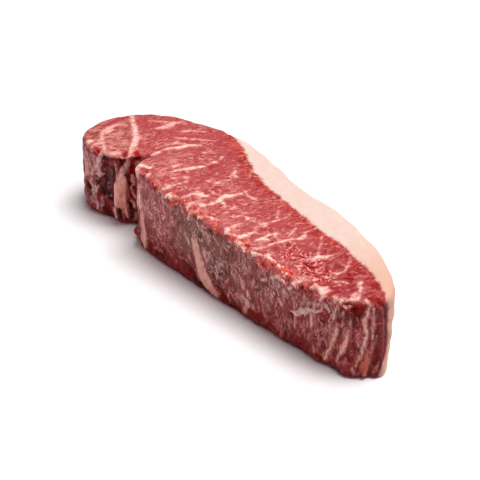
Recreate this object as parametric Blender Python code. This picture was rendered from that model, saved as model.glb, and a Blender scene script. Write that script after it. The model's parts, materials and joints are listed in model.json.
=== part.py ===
"""Raw beef striploin steak, cut thick and lying on one of its two cut faces.

The steak is one solid. +X runs along it to the narrow tail end, +Y to the fat cap and +Z up. The origin is
under the middle of its bounding box, on the face that it lies on. Lengths are written in millimetres.
"""

import math
from typing import NamedTuple

import bmesh
import bpy
from mathutils import Vector, geometry, noise

MM = 0.001

# Driving sizes, in millimetres.
STEAK_LENGTH = 217.5
MEAN_THICKNESS = 42.0

# How finely the solid is faceted.
RIM_PITCH = 2.5
TOP_FACE_PITCH = 4.6
BASE_FACE_PITCH = 10.0
WALL_BANDS = 10
ROUND_BANDS = 3


class Station(NamedTuple):
    """A place on the steak's outline, seen from above, and how the wall stands there."""

    x: float
    y: float
    top_round: float
    base_round: float
    undercut: float


# The outline, counterclockwise. An undercut above zero draws the wall in at the base, one below zero flares it.
EYE_FRONT = (
    Station(-48.3, -26.6, 1.8, 1.6, 0.0),
    Station(-43.5, -29.3, 2.2, 1.4, -1.0),
    Station(-28.0, -30.2, 2.4, 1.4, -1.0),
    Station(0.0, -29.2, 2.4, 1.4, -1.0),
    Station(30.0, -27.8, 2.6, 1.4, -0.6),
    Station(60.0, -25.8, 2.6, 1.4, -0.4),
    Station(84.0, -22.6, 2.6, 1.6, -1.2),
)
TAIL_END = (
    Station(95.6, -18.8, 2.6, 1.8, -3.4),
    Station(102.2, -13.0, 2.8, 1.8, -5.0),
    Station(104.4, -5.0, 3.0, 1.8, -4.4),
    Station(102.2, 2.6, 4.0, 2.4, 0.4),
)
FAT_CAP_BACK = (
    Station(93.0, 12.2, 4.2, 3.4, 4.0),
    Station(80.6, 19.4, 4.2, 3.6, 4.0),
    Station(63.6, 25.6, 4.2, 3.6, 3.2),
    Station(45.0, 30.8, 4.2, 3.6, 2.6),
    Station(29.0, 30.8, 4.2, 3.6, 2.2),
    Station(4.0, 32.2, 4.2, 3.4, 2.0),
    Station(-21.0, 35.4, 4.0, 3.2, 1.6),
    Station(-36.0, 35.8, 3.0, 3.0, 1.2),
)
BARE_BACK = (
    Station(-52.0, 33.2, 2.4, 3.0, 1.0),
    Station(-70.0, 29.6, 2.4, 3.4, 1.2),
    Station(-86.0, 23.8, 2.8, 3.6, 2.0),
)
SIDE_MUSCLE = (
    Station(-98.0, 13.8, 3.4, 4.2, 0.8),
    Station(-104.4, 0.6, 3.4, 4.6, -0.8),
    Station(-106.2, -12.0, 3.4, 4.6, -1.6),
    Station(-102.8, -22.4, 3.4, 4.4, -2.0),
    Station(-94.4, -27.8, 3.2, 3.6, -2.2),
    Station(-82.0, -28.6, 2.6, 2.8, -0.6),
    Station(-71.0, -27.8, 2.4, 2.4, 1.2),
)
NOTCH = (
    Station(-64.2, -24.6, 1.8, 2.2, 2.6),
    Station(-58.8, -19.4, 1.6, 1.8, 1.0),
    Station(-55.4, -14.0, 1.4, 1.4, 0.0),
    Station(-52.9, -14.4, 1.4, 1.4, 0.0),
    Station(-50.6, -20.4, 1.4, 1.4, 0.0),
)
OUTLINE = EYE_FRONT + TAIL_END + FAT_CAP_BACK + BARE_BACK + SIDE_MUSCLE + NOTCH


class Swell(NamedTuple):
    """A broad rise, or where rise is negative a hollow, that fades over reach in every direction."""

    x: float
    y: float
    reach: float
    rise: float


# The upper cut face isn't level: it is highest at the corner by the notch and dips ahead of the tail.
TOP_SWELLS = (
    Swell(-42.0, -24.0, 24.0, 5.4),
    Swell(-18.0, -18.0, 30.0, 2.6),
    Swell(-38.0, 24.0, 34.0, 2.6),
    Swell(62.0, -20.0, 24.0, -2.6),
    Swell(80.0, 8.0, 30.0, -1.2),
    Swell(-84.0, -2.0, 26.0, 1.0),
    Swell(-57.0, -8.0, 10.0, -1.8),
)

# Upright folds of the wall: the bands of fat at the tail, and the fat and the hollows beside the notch.
WALL_FOLDS = (
    Swell(72.0, -24.4, 3.4, -0.6),
    Swell(82.0, -23.0, 3.4, 0.9),
    Swell(90.5, -20.6, 3.2, -0.8),
    Swell(97.0, -17.6, 3.0, 0.8),
    Swell(101.6, -13.2, 2.8, -0.9),
    Swell(104.2, -8.4, 2.8, 0.9),
    Swell(-66.5, -26.4, 4.0, 1.2),
    Swell(-76.5, -28.4, 4.4, -1.5),
    Swell(-88.0, -28.2, 4.6, 0.9),
    Swell(-98.0, -25.0, 4.6, -0.8),
)

# A scrap of meat that stands out low on the notch's wall, how high it is and how far it fades up and down.
SCRAP = Swell(-49.4, -24.2, 3.6, 7.6)
SCRAP_HEIGHT = 4.0
SCRAP_FADE = 3.0

# Unevenness of hand-cut meat: how far it departs from the smooth form, and the width of one hump.
FACE_RELIEF = 0.45
FACE_HUMP = 9.0
WALL_RELIEF = 0.7
WALL_HUMP = 8.0
WALL_HUMP_HEIGHT = 26.0
WALL_BULGE = 0.8


def blend(before, a, b, after, t):
    """A point of the Catmull-Rom curve between stations a and b."""
    values = []
    for p0, p1, p2, p3 in zip(before, a, b, after):
        bend = 2 * p0 - 5 * p1 + 4 * p2 - p3
        twist = 3 * p1 - p0 - 3 * p2 + p3
        values.append(p1 + 0.5 * t * (p2 - p0 + t * (bend + t * twist)))
    return Station(*values)


def curve_through(stations, steps):
    """The closed smooth curve through the stations, with that many steps from each to the next."""
    count = len(stations)
    curve = []
    for i in range(count):
        around = [stations[(i + k) % count] for k in (-1, 0, 1, 2)]
        curve += [blend(*around, step / steps) for step in range(steps)]
    return curve


def evenly_spaced(curve, pitch):
    """The closed curve again, with its points about pitch apart."""
    closed = curve + curve[:1]
    reached = [0.0]
    for a, b in zip(closed, closed[1:]):
        reached.append(reached[-1] + math.dist(a[:2], b[:2]))
    count = round(reached[-1] / pitch)
    spaced = []
    span = 0
    for k in range(count):
        wanted = reached[-1] * k / count
        while reached[span + 1] < wanted:
            span += 1
        share = (wanted - reached[span]) / (reached[span + 1] - reached[span])
        mixed = [p + (q - p) * share for p, q in zip(closed[span], closed[span + 1])]
        spaced.append(Station(*mixed))
    return spaced


def inward_at(rim, i):
    """The level direction that points into the meat at the rim's point i."""
    ahead = rim[(i + 1) % len(rim)]
    behind = rim[i - 1]
    return Vector((behind.y - ahead.y, ahead.x - behind.x)).normalized()


def swell_at(swells, x, y):
    """How much the swells raise the surface at x, y."""
    return sum(s.rise * math.exp(-((x - s.x) ** 2 + (y - s.y) ** 2) / s.reach**2) for s in swells)


def top_height(x, y):
    """Height of the upper cut face."""
    hump = noise.noise(Vector((x, y, 0.0)) / FACE_HUMP)
    return MEAN_THICKNESS + swell_at(TOP_SWELLS, x, y) + FACE_RELIEF * hump


def wall_relief(x, y, z):
    """How far the wall stands out of its smooth form, with its folds, humps and the scrap by the notch."""
    hump = noise.noise(Vector((x / WALL_HUMP, y / WALL_HUMP, z / WALL_HUMP_HEIGHT)))
    scrap = swell_at([SCRAP], x, y) * math.exp(-(((z - SCRAP_HEIGHT) / SCRAP_FADE) ** 2))
    return swell_at(WALL_FOLDS, x, y) + WALL_RELIEF * hump + scrap


def wall_profile(station, height):
    """(inset, z) of each ring of the wall, from the base face up to the top face."""
    quarter = [math.pi / 2 * k / ROUND_BANDS for k in range(ROUND_BANDS + 1)]
    low = station.base_round
    high = height - station.top_round
    profile = [(low * (1 - math.sin(a)), low * (1 - math.cos(a))) for a in quarter]
    profile += [(0.0, low + (high - low) * k / WALL_BANDS) for k in range(1, WALL_BANDS)]
    top = station.top_round
    profile += [(top * (1 - math.cos(a)), high + top * math.sin(a)) for a in quarter]
    shaped = []
    for inset, z in profile:
        share = z / height
        lean = station.undercut * max(0.0, 1 - share) ** 1.5
        bulge = WALL_BULGE * math.sin(math.pi * share)
        shaped.append((inset + lean - bulge, z))
    return shaped


def wall_rings(rim):
    """The wall's rings from base to top, each a list of points with one for each point of the rim."""
    columns = []
    for i, station in enumerate(rim):
        inward = inward_at(rim, i)
        edge = Vector(station[:2]) + inward * station.top_round
        column = []
        for inset, z in wall_profile(station, top_height(*edge)):
            standing = wall_relief(station.x, station.y, z)
            place = Vector(station[:2]) + inward * (inset - standing)
            column.append(Vector((*place, z)))
        columns.append(column)
    return [list(ring) for ring in zip(*columns)]


def inside(point, loop):
    """Whether a level point lies within the closed loop."""
    crossings = 0
    for a, b in zip(loop, loop[1:] + loop[:1]):
        if (a.y > point.y) != (b.y > point.y):
            crossings += point.x < a.x + (point.y - a.y) * (b.x - a.x) / (b.y - a.y)
    return crossings % 2 == 1


def face_points(loop, pitch):
    """Points of a triangular grid that lie well inside the loop."""
    row_step = pitch * math.sqrt(3) / 2
    low = Vector((min(p.x for p in loop), min(p.y for p in loop)))
    high = Vector((max(p.x for p in loop), max(p.y for p in loop)))
    found = []
    for row in range(int((high.y - low.y) / row_step) + 1):
        for column in range(int((high.x - low.x) / pitch) + 1):
            shift = 0.5 * (row % 2)
            point = low + Vector(((column + shift) * pitch, row * row_step))
            clear = min((point - p).length for p in loop) > 0.7 * pitch
            if clear and inside(point, loop):
                found.append(point)
    return found


def add_face(mesh, rim_verts, pitch, height_at, facing_up):
    """Closes one end of the wall with a triangulated face, through the rim's own vertices."""
    loop = [v.co.xy for v in rim_verts]
    points = loop + face_points(loop, pitch)
    edges = [(i, (i + 1) % len(loop)) for i in range(len(loop))]
    placed, _, triangles, origins, _, _ = geometry.delaunay_2d_cdt(points, edges, [], 1, 1e-6)
    verts = []
    for place, sources in zip(placed, origins):
        on_rim = [k for k in sources if k < len(loop)]
        height = height_at(place.x, place.y)
        verts.append(rim_verts[on_rim[0]] if on_rim else mesh.verts.new((*place, height)))
    for triangle in triangles:
        corners = [verts[k] for k in triangle]
        mesh.faces.new(corners if facing_up else corners[::-1])


def steak_mesh():
    """The whole steak as one closed mesh, in metres, with the origin under the middle of its box."""
    rim = evenly_spaced(curve_through(OUTLINE, 12), RIM_PITCH)
    rings = wall_rings(rim)
    mesh = bmesh.new()
    loops = [[mesh.verts.new(point) for point in ring] for ring in rings]
    for lower, upper in zip(loops, loops[1:]):
        for i in range(len(rim)):
            k = (i + 1) % len(rim)
            mesh.faces.new((lower[i], lower[k], upper[k], upper[i]))
    add_face(mesh, loops[0], BASE_FACE_PITCH, lambda x, y: 0.0, facing_up=False)
    add_face(mesh, loops[-1], TOP_FACE_PITCH, top_height, facing_up=True)
    bmesh.ops.triangulate(mesh, faces=mesh.faces[:])
    low = Vector(min(v.co[axis] for v in mesh.verts) for axis in range(3))
    high = Vector(max(v.co[axis] for v in mesh.verts) for axis in range(3))
    middle = (low + high) / 2
    bmesh.ops.translate(mesh, verts=mesh.verts[:], vec=(-middle.x, -middle.y, -low.z))
    bmesh.ops.scale(mesh, verts=mesh.verts[:], vec=Vector((1, 1, 1)) * MM * STEAK_LENGTH / (high.x - low.x))
    return mesh


def raw_beef():
    """Wet, fresh-cut beef: deep pinkish red, half glossy, not metallic."""
    material = bpy.data.materials.new("raw_beef")
    material.use_nodes = True
    shader = material.node_tree.nodes["Principled BSDF"]
    shader.inputs["Base Color"].default_value = (0.46, 0.09, 0.08, 1.0)
    shader.inputs["Roughness"].default_value = 0.42
    shader.inputs["Metallic"].default_value = 0.0
    return material


def main():
    for old in list(bpy.data.objects):
        bpy.data.objects.remove(old)
    mesh = steak_mesh()
    data = bpy.data.meshes.new("striploin_steak")
    mesh.to_mesh(data)
    mesh.free()
    data.shade_smooth()
    data.materials.append(raw_beef())
    steak = bpy.data.objects.new("striploin_steak", data)
    bpy.context.scene.collection.objects.link(steak)


main()
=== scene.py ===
import json
import math

import bpy
import numpy as np
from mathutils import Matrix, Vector, noise
from mathutils.bvhtree import BVHTree

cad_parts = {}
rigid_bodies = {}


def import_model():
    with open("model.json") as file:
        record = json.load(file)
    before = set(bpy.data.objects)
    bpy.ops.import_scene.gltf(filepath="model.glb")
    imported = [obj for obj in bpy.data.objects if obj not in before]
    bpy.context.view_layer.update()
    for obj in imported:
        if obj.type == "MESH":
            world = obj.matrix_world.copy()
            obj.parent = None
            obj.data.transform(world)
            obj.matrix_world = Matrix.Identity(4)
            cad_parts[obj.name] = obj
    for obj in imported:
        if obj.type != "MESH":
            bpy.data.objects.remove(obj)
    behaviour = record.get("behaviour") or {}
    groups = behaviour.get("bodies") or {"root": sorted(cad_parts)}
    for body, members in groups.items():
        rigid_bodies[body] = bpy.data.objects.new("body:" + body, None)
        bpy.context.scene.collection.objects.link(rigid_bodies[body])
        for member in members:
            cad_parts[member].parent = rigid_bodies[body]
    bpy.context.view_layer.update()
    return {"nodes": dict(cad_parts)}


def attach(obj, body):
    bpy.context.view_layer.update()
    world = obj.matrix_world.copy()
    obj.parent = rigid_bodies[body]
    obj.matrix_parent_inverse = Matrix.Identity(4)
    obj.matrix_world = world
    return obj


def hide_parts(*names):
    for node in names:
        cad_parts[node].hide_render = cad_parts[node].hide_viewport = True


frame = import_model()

# The camera: a long lens that looks down on the tail end and the front side. It stands where the solid's
# outline and corners fall on those of the photo, which is as wide as it is high.
PHOTO_WIDTH = 480
SENSOR = 36.0
LENS = 82.5
AZIMUTH = math.radians(48.5)
ELEVATION = math.radians(36.0)
DISTANCE = 0.5537
AIM = Vector((0.00809, -0.00909, 0.022))

right = Vector((math.cos(AZIMUTH), math.sin(AZIMUTH), 0.0))
back = Vector((
    math.sin(AZIMUTH) * math.cos(ELEVATION),
    -math.cos(AZIMUTH) * math.cos(ELEVATION),
    math.sin(ELEVATION),
))
up = back.cross(right)
eye = AIM + back * DISTANCE
bpy.ops.object.camera_add(location=eye, rotation=(-back).to_track_quat("-Z", "Y").to_euler())
camera = bpy.context.view_layer.objects.active
camera.data.sensor_width = SENSOR
camera.data.lens = LENS
bpy.context.scene.camera = camera

# The steak's form.
# One thick slice of raw striploin, cut across the muscle. It is the lean eye with a fat cap along its back,
# a second small muscle past a notch at the wide end, and a seam of fat between the two. Its skin is the
# solid's, made even and softened, and then raised and lowered as relief. Sizes from here on are in mm.
MM = 0.001
VOXEL = 0.72

bpy.ops.object.select_all(action="DESELECT")
solid = frame["nodes"]["striploin_steak"]
bpy.context.view_layer.objects.active = solid
solid.select_set(True)
bpy.ops.object.duplicate()
steak = bpy.context.view_layer.objects.active
steak.name = "marbled_steak"
bpy.ops.object.parent_clear(type="CLEAR_KEEP_TRANSFORM")
bpy.ops.object.mode_set(mode="EDIT")
bpy.ops.mesh.select_all(action="SELECT")
bpy.ops.mesh.remove_doubles(threshold=0.01 * MM)
bpy.ops.object.mode_set(mode="OBJECT")
# Strokes are carried onto this skin further down.
skin = BVHTree.FromObject(steak, bpy.context.evaluated_depsgraph_get())
even = steak.modifiers.new("even_skin", "REMESH")
even.mode = "VOXEL"
even.voxel_size = VOXEL * MM
bpy.ops.object.modifier_apply(modifier=even.name)
ease = steak.modifiers.new("ease_facets", "SMOOTH")
ease.factor = 0.5
ease.iterations = 6
bpy.ops.object.modifier_apply(modifier=ease.name)

count = len(steak.data.vertices)
spots = np.zeros(count * 3, np.float32)
steak.data.vertices.foreach_get("co", spots)
spots = spots.reshape(-1, 3).astype(float) / MM
facing = np.zeros(count * 3, np.float32)
steak.data.vertex_normals.foreach_get("vector", facing)
facing = facing.reshape(-1, 3).astype(float)
x, y, z = spots.T


def ramp(value, low, high):
    """0 below low, 1 above high and an even S-curve between them."""
    share = np.clip((value - low) / (high - low), 0.0, 1.0)
    return share * share * (3.0 - 2.0 * share)


def rough(sizes, seed=0.0):
    """Humps of about those sizes in mm along x, y and z, from -1 to 1, at every vertex."""
    places = spots / np.array(sizes) + seed
    return np.array([noise.noise(Vector(p)) for p in places])


# The cut faces are the upper and the lower one; the wall is all that stands between them.
wall = 1.0 - ramp(np.abs(facing[:, 2]), 0.45, 0.9)
face = 1.0 - wall
upper = ramp(z, 20.0, 30.0)

# How high the cut face's front edge stands from the side muscle to the tail, and the dry skin below it.
RIM = (
    (-100.0, 42.5), (-82.0, 43.0), (-62.0, 45.0), (-45.0, 49.0), (-15.0, 46.5), (0.0, 44.5), (18.0, 42.5),
    (45.0, 39.0), (60.0, 38.0), (108.0, 41.0),
)
rim_x, rim_z = np.array(RIM).T
rim = np.interp(x, rim_x, rim_z) + 1.6 * rough((5.0, 5.0, 30.0), 12.0)
dry_skin = wall * ramp(np.minimum(rim - z, z + 6.0), -1.0, 4.5)

# The fat cap's inner edge, seen from above.
CAP_EDGE = (
    (-48.0, 35.0), (-42.0, 31.0), (-30.5, 26.5), (-18.0, 20.8), (-9.6, 16.7), (0.0, 14.1), (10.8, 12.0),
    (20.5, 11.5), (30.0, 9.6), (39.3, 9.1), (47.1, 7.6), (52.6, 7.4), (58.9, 8.4), (65.0, 7.4), (72.1, 5.3),
    (82.9, 3.5), (92.8, -1.0), (100.4, -4.8), (104.5, -7.6), (112.0, -9.0),
)
edge_x, edge_y = np.array(CAP_EDGE).T
# At the tail the cap slants towards the eye near the table, and is a little narrower just below the rim.
slant = 6.5 * ramp(16.0 - z, 0.0, 16.0) * ramp(x, 88.0, 104.0)
slant -= 1.8 * ramp(42.0 - z, 0.0, 8.0) * ramp(x, 100.0, 105.0)
slope = np.interp(x, (edge_x[1:] + edge_x[:-1]) / 2, np.diff(edge_y) / np.diff(edge_x))
# Below the rim the cap's far end wanders by some millimetres.
wander = ramp(-x, 20.0, 36.0) * ramp(41.0 - z, 0.0, 10.0) * (9.0 * rough((11.0, 11.0, 9.0), 11.0) - 4.0)
cap_x = x + wander
# How far inside the cap each place lies; below zero is lean.
fat_cap = (y - np.interp(cap_x, edge_x, edge_y) + slant) / np.sqrt(1.0 + slope**2)
fat_cap = np.where(cap_x < edge_x[0], -20.0, fat_cap)
cap = ramp(fat_cap, -0.5, 0.5)

# The side muscle lies outside the seam of fat that runs from the back edge to the notch.
SEAM = (
    (-104.0, 9.0), (-97.3, 3.8), (-87.2, -1.9), (-75.5, -10.4), (-68.6, -17.7), (-65.7, -20.8),
    (-60.0, -28.0),
)
seam_x, seam_y = np.array(SEAM).T
side_muscle = ramp(np.interp(x, seam_x, seam_y) - y, 0.0, 1.5) * ramp(-x, 60.0, 63.0)

# What is drawn on the steak comes as strokes, drawn over the photo: a tone, then a path of places.
# A place is how far across and down the photo it lies in pixels, and half the stroke's width there in mm.
# The mm were worked out from widths drawn in pixels, and one place in six is up to half a pixel off.
# Veins of fat in the cut faces, by how pale they are. They run down through the slice.
FACE_VEINS = (
    (0.6, ((156, 128.5, 1.1), (163, 127.5, 2), (169, 126, 3), (173, 123.5, 2.5), (178, 122.5, 1.5),
          (185, 122.5, 0.9))),
    (0.5, ((150, 121, 0.9), (160, 121.5, 1.1), (168, 122, 0.8))),
    (0.6, ((182, 131.5, 1.1), (193, 131, 1.4), (205, 132, 1))),
    (0.5, ((176, 138, 1), (184, 138.5, 1.1), (193, 139.5, 1.1), (204, 140, 0.9), (215, 141, 0.7))),
    (0.6, ((166, 145, 0.9), (176, 143, 1.7), (184, 144, 1.3))),
    (0.9, ((151, 156, 1.3), (157, 153.5, 2), (163, 150.5, 1.4), (169, 148.5, 1.3), (179, 147.5, 1.7),
          (190, 145.5, 1.7), (200, 145, 1.1))),
    (0.8, ((204, 152.5, 0.8), (211, 151, 1))),
    (0.9, ((173.5, 167, 1.1), (179, 165.5, 0.9))),
    (0.9, ((171, 171.5, 0.7), (179, 170.5, 1.2), (190, 168.5, 1.6), (200, 167, 1.3), (207, 165, 1),
          (215, 162, 0.8), (221, 159, 0.8), (222, 157, 0.8))),
    (0.8, ((174, 178.5, 0.8), (182, 177.5, 0.8), (190, 177.5, 0.6))),
    (0.9, ((229, 177, 0.7), (233, 174, 1), (236, 171, 0.7))),
    (0.9, ((233, 174, 1), (236, 176.5, 0.9))),
    (0.8, ((207, 181, 0.7), (214, 179, 0.6))),
    (0.8, ((212, 184, 0.5), (221, 181.5, 0.7), (230, 180, 0.5))),
    (0.9, ((161, 189.5, 0.5), (168, 187.5, 1), (175, 185, 1), (181, 183, 0.7), (187, 181.5, 0.5))),
    (1, ((176, 198.5, 0.6), (184, 197, 0.9), (191, 194.5, 1), (197, 193, 1.7), (203, 195.5, 1.5),
          (208, 196, 0.8))),
    (1, ((186, 204.5, 0.7), (191, 203, 0.8), (197, 204, 0.9), (203, 205.5, 1.5), (209, 205, 0.9),
          (214, 203, 1), (219, 201, 1.4), (223, 198, 1.8), (227, 196, 1.9), (232, 195.5, 1.6),
          (239, 194, 1.1), (245, 192, 0.9), (251, 190, 0.6))),
    (1, ((220, 201, 1.6), (224, 204, 1.1), (226, 207.5, 0.6))),
    (0.9, ((246, 193.5, 0.6), (250, 197.5, 0.9), (257, 200, 0.7))),
    (0.6, ((210, 191, 0.7), (216, 194, 0.7))),
    (0.9, ((222, 214.5, 0.5), (228, 212, 0.6))),
    (0.9, ((208, 216.5, 0.9), (213, 218.5, 1), (218, 220, 0.8))),
    (0.8, ((233, 217.5, 0.7), (241, 216, 0.8), (247, 217.5, 0.9), (250, 221, 0.5))),
    (0.8, ((230, 209, 0.6), (236, 207, 0.9))),
    (0.8, ((241, 212, 0.8), (246, 213.5, 0.9))),
    (0.7, ((229, 228, 0.7), (235, 226, 0.7), (241, 223.5, 0.6))),
    (1, ((240, 237, 1.4), (246, 235, 1.6), (251, 233, 1), (256, 230.5, 0.5))),
    (0.8, ((253, 220.5, 0.5), (258, 223.5, 0.8), (264, 224.5, 1), (269, 222.5, 0.6), (275, 221, 0.7),
          (282, 219.5, 0.6), (287, 216.5, 0.7), (292, 212, 0.5))),
    (0.7, ((255, 229, 0.5), (260, 226.5, 0.7), (267, 226, 0.5))),
    (0.7, ((277, 221, 0.5), (277, 216, 0.8), (279, 210, 0.5))),
    (1, ((257, 239.5, 1), (262, 239, 1.7), (268, 239.5, 0.9))),
    (0.9, ((264, 237, 0.5), (270, 234.5, 0.9), (275.5, 234, 1.1), (276, 237, 0.5))),
    (0.8, ((288, 236.5, 0.4), (292, 231.5, 0.7), (295.5, 228.5, 0.7))),
    (0.9, ((251, 251.5, 0.6), (255, 249, 0.8), (263, 248, 0.6), (270, 245, 0.7), (277, 243, 0.8),
          (284, 241, 1), (293, 239.5, 1.1), (300, 238.5, 1.1), (304, 236, 1.1), (306, 232.5, 0.9),
          (312, 229.5, 0.7), (320, 227.5, 0.8))),
    (1, ((262, 259, 1), (267, 256, 1.4), (272, 254, 0.8))),
    (1, ((306, 260, 0.5), (312, 258, 0.9), (318, 257, 1.4), (325, 258, 0.8), (330, 257.5, 0.6),
          (332, 254.5, 0.5))),
    (0.8, ((321.5, 239, 0.3), (321.5, 246, 0.4), (319, 250.5, 0.4), (317, 255.5, 0.3))),
    (0.5, ((312.5, 243, 0.3), (316, 248.5, 0.4))),
    (0.9, ((334, 277.5, 1), (338, 273.5, 0.9), (344, 271, 0.6), (348, 265.5, 0.4), (350, 260, 0.4))),
    (0.9, ((334.5, 282, 0.7), (340, 282, 0.8), (345, 281.5, 0.6))),
    (0.9, ((356, 282, 0.5), (361, 283.5, 0.9))),
    (0.9, ((361, 284, 0.5), (360.5, 290, 0.6), (357.5, 294, 1), (352, 297, 0.9))),
    (1, ((317, 290, 1), (322, 289, 1.8), (328, 287.5, 0.9))),
    (0.7, ((298, 277, 1.1), (303, 278.5, 1.1), (309, 277, 0.7))),
    (0.6, ((280, 262, 0.7), (287, 264, 0.6))),
    (1, ((141, 166, 2.1), (145, 166.5, 1.6), (149, 168.5, 0.6))),
)
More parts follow.
